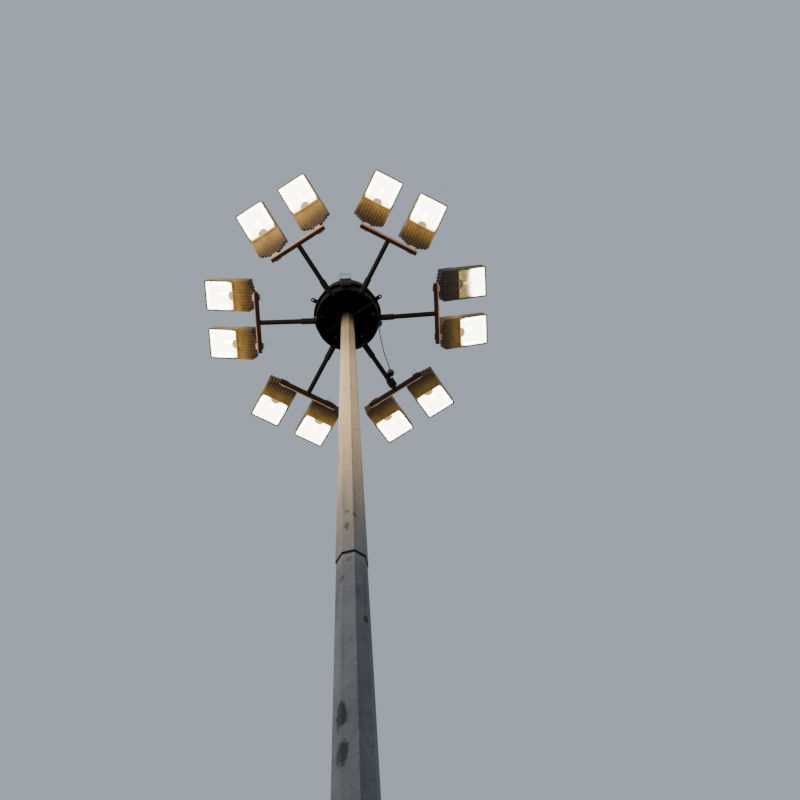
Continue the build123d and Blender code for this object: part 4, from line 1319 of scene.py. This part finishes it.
@dataclass
class Floodlight:
    """One floodlight's lit bowl, lamp, shroud, clips, screws and corners, in its own tilted axes."""

    number: int
    glass_start: float = 0.328
    glass_end: float = 0.719
    glass_width: float = 0.388
    underside: float = -0.040
    rim: float = 0.008
    ledge: float = 0.014
    lip: float = 0.0015
    bowl_lip: float = 0.0047
    bowl_start: float = 0.0056
    bowl_depth: float = 0.066
    bowl_corner: float = 0.016
    lip_corner: float = 0.009
    # How far up the bowl each outline is, how much smaller, and how far it is shifted
    bowl_rings: tuple[Point, ...] = (
        (0.0, 0.0, 0.0),
        (0.30, 0.014, -0.001),
        (0.60, 0.030, -0.003),
        (0.82, 0.052, -0.006),
        (0.95, 0.090, -0.010),
        (1.0, 0.150, -0.014),
    )
    tube: Point = (0.045, 0.0, 0.034)
    shroud: Point = (0.060, 0.066, 0.046)
    shroud_place: Pair = (0.001, 0.008)
    shroud_steps: Pair = (12, 6)
    half_width: float = 0.210
    reach: float = 0.735
    nose_corner: float = 0.024
    nose_skin: Pair = (0.0002, 0.0030)
    nose_span: Pair = (-0.0335, 0.0645)
    nose_turns: tuple[float, ...] = tuple(22.0 + 5.75 * step for step in range(9))
    clip: Point = (0.034, 0.003, 0.030)
    hook: Point = (0.026, 0.014, 0.002)
    clip_places: Pair = (0.395, 0.650)
    screw_places: Pair = (0.135, 0.298)
    screw_sides: tuple[float, ...] = (-0.147, -0.063, 0.063, 0.147)
    gland: Point = (0.042, 0.050, 0.032)

    @property
    def at(self) -> Matrix:
        """Matrix from the floodlight's axes to the frame."""
        return flood_place(self.number)

    def pick(self, usual: str, dim: str) -> str:
        """The usual finish, or the dim floodlight's own."""
        return dim if self.number == DIM_FLOOD else usual

    def close(self, work: Metalwork, piece: str, finish: str, smooth: float = 35.0) -> bpy.types.Object:
        """Finish a piece that moves with this floodlight."""
        return work.done(f"{piece}_{self.number}", finish, f"flood_{self.number}", smooth)

    def build_bowl(self) -> None:
        """The reflector: a hammered bowl with a steep inner end and a shallow outer one."""
        glass = (self.glass_end - self.glass_start, self.glass_width)
        middle = (self.glass_start + self.glass_end) / 2
        low = self.underside + self.bowl_lip
        mouth = [side - 2 * self.ledge for side in glass]
        outlines = [
            rounded_outline([side - 2 * self.lip for side in glass], self.lip_corner, middle, low),
            rounded_outline(mouth, self.bowl_corner, middle, low),
        ]
        for share, shrink, shifted in self.bowl_rings:
            size = [side - 2 * shrink for side in mouth]
            height = self.underside + self.bowl_start + self.bowl_depth * share
            outlines.append(rounded_outline(size, self.bowl_corner + shrink * 0.35, middle + shifted, height))
        bowl = Metalwork()
        rings = bowl.loft(outlines, self.at, capped=False)
        bowl.mesh.faces.new(rings[-1])
        self.close(bowl, "lit_bowl", self.pick("lit_bowl", "lit_bowl_dim"), 60.0).data.flip_normals()

    def build_lamp(self) -> None:
        """The lamp's tube in its holder, and the shroud over the holder."""
        tube, shroud = Metalwork(), Metalwork()
        start = shift(self.glass_start + self.ledge, 0.0, self.underside)
        tube.lathe(self.at @ start @ shift(*self.tube) @ LYING, Turned.LIT_TUBE)
        out, aside, up = self.shroud
        foot, low = self.shroud_place
        round_steps, rise_steps = self.shroud_steps
        turns = [math.pi * step / round_steps for step in range(round_steps + 1)]
        outlines = []
        for rise in (math.pi / 2 * step / rise_steps for step in range(rise_steps + 1)):
            wide, long = aside * max(math.cos(rise), 0.05), out * math.cos(rise)
            height = low + up * math.sin(rise)
            ring = [(foot + long * math.sin(turn), -wide * math.cos(turn), height) for turn in turns]
            outlines.append(ring)
        shroud.loft(outlines, self.at @ start)
        self.close(tube, "lit_tube", self.pick("lit_tube", "dim_tube"))
        # The shroud's glow is painted lamp light.
        self.close(shroud, "lamp_shroud", self.pick("gold_shroud", "dim_shroud"))

    def build_fasteners(self) -> None:
        """Frame clips along both sides, and the screws of the gear compartment's cover."""
        clips, screws = Metalwork(), Metalwork()
        low = self.underside - self.rim
        for side in (-1, 1):
            for along in self.clip_places:
                beside = shift(along, side * (self.half_width + self.clip[1] / 2), low + 0.016)
                clips.block(self.clip, self.at @ beside, bevel=0.0008)
                under = shift(along, side * (self.half_width - 0.004), low - self.hook[2] / 2)
                clips.block(self.hook, self.at @ under, bevel=0.0006)
        for along in self.screw_places:
            for side in self.screw_sides:
                screws.lathe(self.at @ shift(along, side, self.underside) @ HANGING, Turned.COVER_SCREW)
        self.close(clips, "frame_clips", "dull_bolt")
        self.close(screws, "cover_screws", "dull_bolt")

    def build_nose(self) -> None:
        """Curved corner pieces that close the casting's two outer corners, flush with its skin."""
        corners = Metalwork()
        turns = [math.radians(turn) for turn in self.nose_turns]
        skin, back = (self.nose_corner - depth for depth in self.nose_skin)
        plan = [(skin * math.cos(turn), skin * math.sin(turn)) for turn in turns]
        plan += [(back * math.cos(turn), back * math.sin(turn)) for turn in reversed(turns)]
        x, y = self.reach - self.nose_corner, self.half_width - self.nose_corner
        for side in (-1, 1):
            corners.loft([[(x + a, side * (y + b), z) for a, b in plan] for z in self.nose_span], self.at)
        self.close(corners, "nose_corners", self.pick("cast_bronze", "cast_bronze_dark"))

    def build_gland(self) -> None:
        """The supply gland on the inner end, beside the pivot lug."""
        gland = Metalwork()
        gland.lathe(self.at @ shift(*self.gland) @ LYING.inverted(), Turned.SUPPLY_NUT, Turned.SUPPLY_CAP)
        self.close(gland, "supply_gland", "black_moulding")

    def build(self) -> None:
        """Build all the floodlight's pieces."""
        self.build_bowl()
        self.build_lamp()
        self.build_fasteners()
        self.build_nose()
        self.build_gland()


@dataclass
class JunctionBox:
    """Lid screws and cable glands of the grey box on the near side of the head."""

    corner_inset: float = 0.010
    gland_offsets: Point = (-0.045, 0.0, 0.045)

    def build(self) -> None:
        """Build the box's fittings."""
        screws, glands = Metalwork(), Metalwork()
        low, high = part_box("junction_box_lid")
        left, right, bottom, top = (
            edge[axis] + inset
            for axis in (0, 2)
            for edge, inset in ((low, self.corner_inset), (high, -self.corner_inset))
        )
        for x in (left, right):
            for z in (bottom, (low[2] + high[2]) / 2, top):
                at = shift(x, low[1], z) @ Matrix.Rotation(math.pi / 2, 4, "X")
                screws.lathe(at, Turned.BOX_SCREW)
        low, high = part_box("junction_box")
        for offset in self.gland_offsets:
            at = shift(offset, (low[1] + high[1]) / 2, low[2]) @ HANGING
            glands.lathe(at, Turned.BOX_NUT, Turned.BOX_CAP)
        screws.done("box_screws", "bolt_zinc")
        glands.done("box_glands", "black_moulding")


@dataclass
class Beacon:
    """Lens ribs, band and screws of the obstruction beacon and its box, and its lead."""

    trees: Trees
    arm: int = 1
    rib_rise: float = 0.050
    ribs: dict[str, float] = field(
        default_factory=lambda: {"Count": 28, "Ring_Radius": 0.0492, "Rib_Width": 0.0035, "Rib_Height": 0.016}
    )
    band_drop: float = 0.004
    box_reach: float = BAR_RADIUS - BAR_SIZE / 2 - 0.067
    lid_screws: Point = (0.044, 0.043, 0.0615)
    lead_diameter: float = 0.012
    lead_route: tuple[Point, ...] = (
        (0.4293, 0.1154, 19.3450),
        (0.4143, 0.2052, 19.3450),
        (0.4370, 0.3020, 19.3120),
        (0.4490, 0.3980, 19.2920),
        (0.4700, 0.4920, 19.3060),
        (0.4930, 0.5840, 19.3620),
        (0.5184, 0.6698, 19.4206),
        (0.5350, 0.7593, 19.4206),
    )
    lead_length: float = 0.690

    def fittings(self) -> None:
        """Upright ribs round the lens, the clamp band at its foot and the arm box's lid screws."""
        low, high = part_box("beacon_lens")
        foot = ((low[0] + high[0]) / 2, (low[1] + high[1]) / 2, low[2])
        ribs = self.trees.ribs.grow("lens_ribs", "red_lens", [], **self.ribs)
        ribs.data.transform(shift(*foot) @ shift(0.0, 0.0, self.rib_rise))
        band, screws = Metalwork(), Metalwork()
        band.lathe(shift(*foot) @ shift(0.0, 0.0, -self.band_drop), Turned.LENS_BAND)
        height = arm_axis(self.box_reach) + ARM_DIAMETER / 2 / math.cos(ARM_SLOPE)
        at = arm_place(self.arm) @ shift(self.box_reach, 0.0, height) @ Matrix.Rotation(-ARM_SLOPE, 4, "Y")
        x, y, z = self.lid_screws
        for along, across in ((-x, -y), (-x, y), (x, -y), (x, y)):
            screws.lathe(at @ shift(along, across, z), Turned.LID_SCREW)
        band.done("lens_band", "bolt_zinc")
        screws.done("arm_box_screws", "bolt_zinc")

    def lead(self) -> None:
        """The lead from the gland on the ring to the beacon, on its drawn route."""
        curve = bpy.data.curves.new("beacon_lead_run", "CURVE")
        curve.dimensions = "3D"
        curve.bevel_depth = self.lead_diameter / 2
        curve.bevel_resolution = 4
        curve.use_fill_caps = True
        spline = curve.splines.new("NURBS")
        spline.points.add(len(self.lead_route) - 1)
        for point, place in zip(spline.points, self.lead_route):
            point.co = (*place, 1.0)
        spline.order_u = 3
        spline.use_endpoint_u = True
        spline.resolution_u = 12
        curve.materials.append(MATERIALS["lead_sheath"])
        lead = bpy.data.objects.new("beacon_lead_run", curve)
        bpy.context.scene.collection.objects.link(lead)
        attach(lead, TOWER)
        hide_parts("beacon_lead")
        LOG.info("beacon_lead_run: %.3f m long", self.lead_length)

    def build(self) -> None:
        """Build all the beacon's pieces."""
        self.fittings()
        self.lead()


@dataclass(frozen=True)
class SoftLight:
    """A soft square light that faces the head."""

    name: str
    place: Point
    size: float
    power: float
    spread: float
    tone: Point = (1.0, 0.93, 0.84)
    aim: Point = (0.0, 0.0, 18.5)

    def hang(self) -> None:
        """Hang the light."""
        data = bpy.data.lights.new(self.name, "AREA")
        data.spread = math.radians(self.spread)
        data.size = self.size
        data.energy = self.power
        data.color = self.tone
        lamp = bpy.data.objects.new(self.name, data)
        way = Vector(self.aim) - Vector(self.place)
        lamp.matrix_world = shift(*self.place) @ way.to_track_quat("-Z", "Y").to_matrix().to_4x4()
        bpy.context.scene.collection.objects.link(lamp)


@dataclass
class Studio:
    """Pale floor, soft lights and the camera at the foot of the tower."""

    eye: Point = (0.164, -4.366, 1.710)
    bearing: float = 84.97
    elevation: float = 72.53
    roll: float = -7.86
    focal: float = 1358.1
    frame_width: float = 800.0
    sensor: float = 36.0
    floor_size: float = 160.0
    air: Point = (0.69, 0.80, 0.91)
    air_strength: float = 0.55
    lights: tuple[SoftLight, ...] = (
        SoftLight("key", (-13.0, -12.0, 13.0), 6.0, 1500.0, 90.0),
        SoftLight("fill", (15.0, -4.0, 10.0), 8.0, 50.0, 50.0),
    )

    def camera(self) -> None:
        """The camera, standing near the mast and looking steeply up."""
        data = bpy.data.cameras.new("eye")
        data.sensor_width = self.sensor
        data.lens = self.focal / self.frame_width * self.sensor
        data.clip_start = 0.1
        data.clip_end = 500.0
        bearing, rise, roll = (math.radians(value) for value in (self.bearing, self.elevation, self.roll))
        ahead = spot_round(bearing, math.cos(rise), math.sin(rise))
        right = ahead.cross(Vector((0.0, 0.0, 1.0))).normalized()
        above = right.cross(ahead)
        turned = math.cos(roll) * right + math.sin(roll) * above
        top = math.cos(roll) * above - math.sin(roll) * right
        camera = bpy.data.objects.new("eye", data)
        camera.matrix_world = shift(*self.eye) @ Matrix((turned, top, -ahead)).transposed().to_4x4()
        bpy.context.scene.collection.objects.link(camera)
        bpy.context.scene.camera = camera

    def floor(self) -> None:
        """A plain pale floor under the base flange."""
        mesh = bpy.data.meshes.new("floor")
        half = self.floor_size / 2
        corners = [(-half, -half, 0.0), (half, -half, 0.0), (half, half, 0.0), (-half, half, 0.0)]
        mesh.from_pydata(corners, [], [(0, 1, 2, 3)])
        bench = ShaderBench("floor_pale")
        tone = bench.mix(bench.noise(0.4, 3.0), (0.70, 0.70, 0.69), (0.74, 0.74, 0.73))
        bench.put(Base_Color=tone, Roughness=0.9)
        mesh.materials.append(bench.material)
        floor = bpy.data.objects.new("floor", mesh)
        bpy.context.scene.collection.objects.link(floor)

    def build(self) -> None:
        """Build the camera, the floor, the surroundings and the lights."""
        self.camera()
        self.floor()
        world = bpy.data.worlds.new("studio")
        world.use_nodes = True
        surroundings = world.node_tree.nodes["Background"]
        surroundings.inputs["Color"].default_value = (*self.air, 1.0)
        surroundings.inputs["Strength"].default_value = self.air_strength
        bpy.context.scene.world = world
        for light in self.lights:
            light.hang()
        LOG.info("studio ready")


def finish_node(node: str, finish: str) -> None:
    """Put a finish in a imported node's material slots."""
    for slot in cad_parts[node].material_slots:
        slot.link = "OBJECT"
        slot.material = MATERIALS[finish]
    LOG.info("%s: %s", node, finish)


def main() -> None:
    """Build the finishes, every sub-assembly and the studio."""
    for finish in FINISHES:
        MATERIALS[finish.name] = finish.build()
    for finish, nodes in NODE_FINISHES.items():
        for node in nodes.split():
            finish_node(node, finish)
    trees = Trees()
    Studio().build()
    Beacon(trees).build()
    Base(trees).build()
    Mast(trees).build()
    Head(trees).build()
    Saddles(trees).build()
    JunctionBox().build()
    for number in range(1, FLOOD_COUNT + 1):
        flood = Floodlight(number)
        finish_node(f"flood_housing_{number}", flood.pick("cast_bronze", "cast_bronze_dark"))
        finish_node(f"flood_glass_{number}", "flood_glass")
        flood.build()


if __name__ == "__main__":
    main()
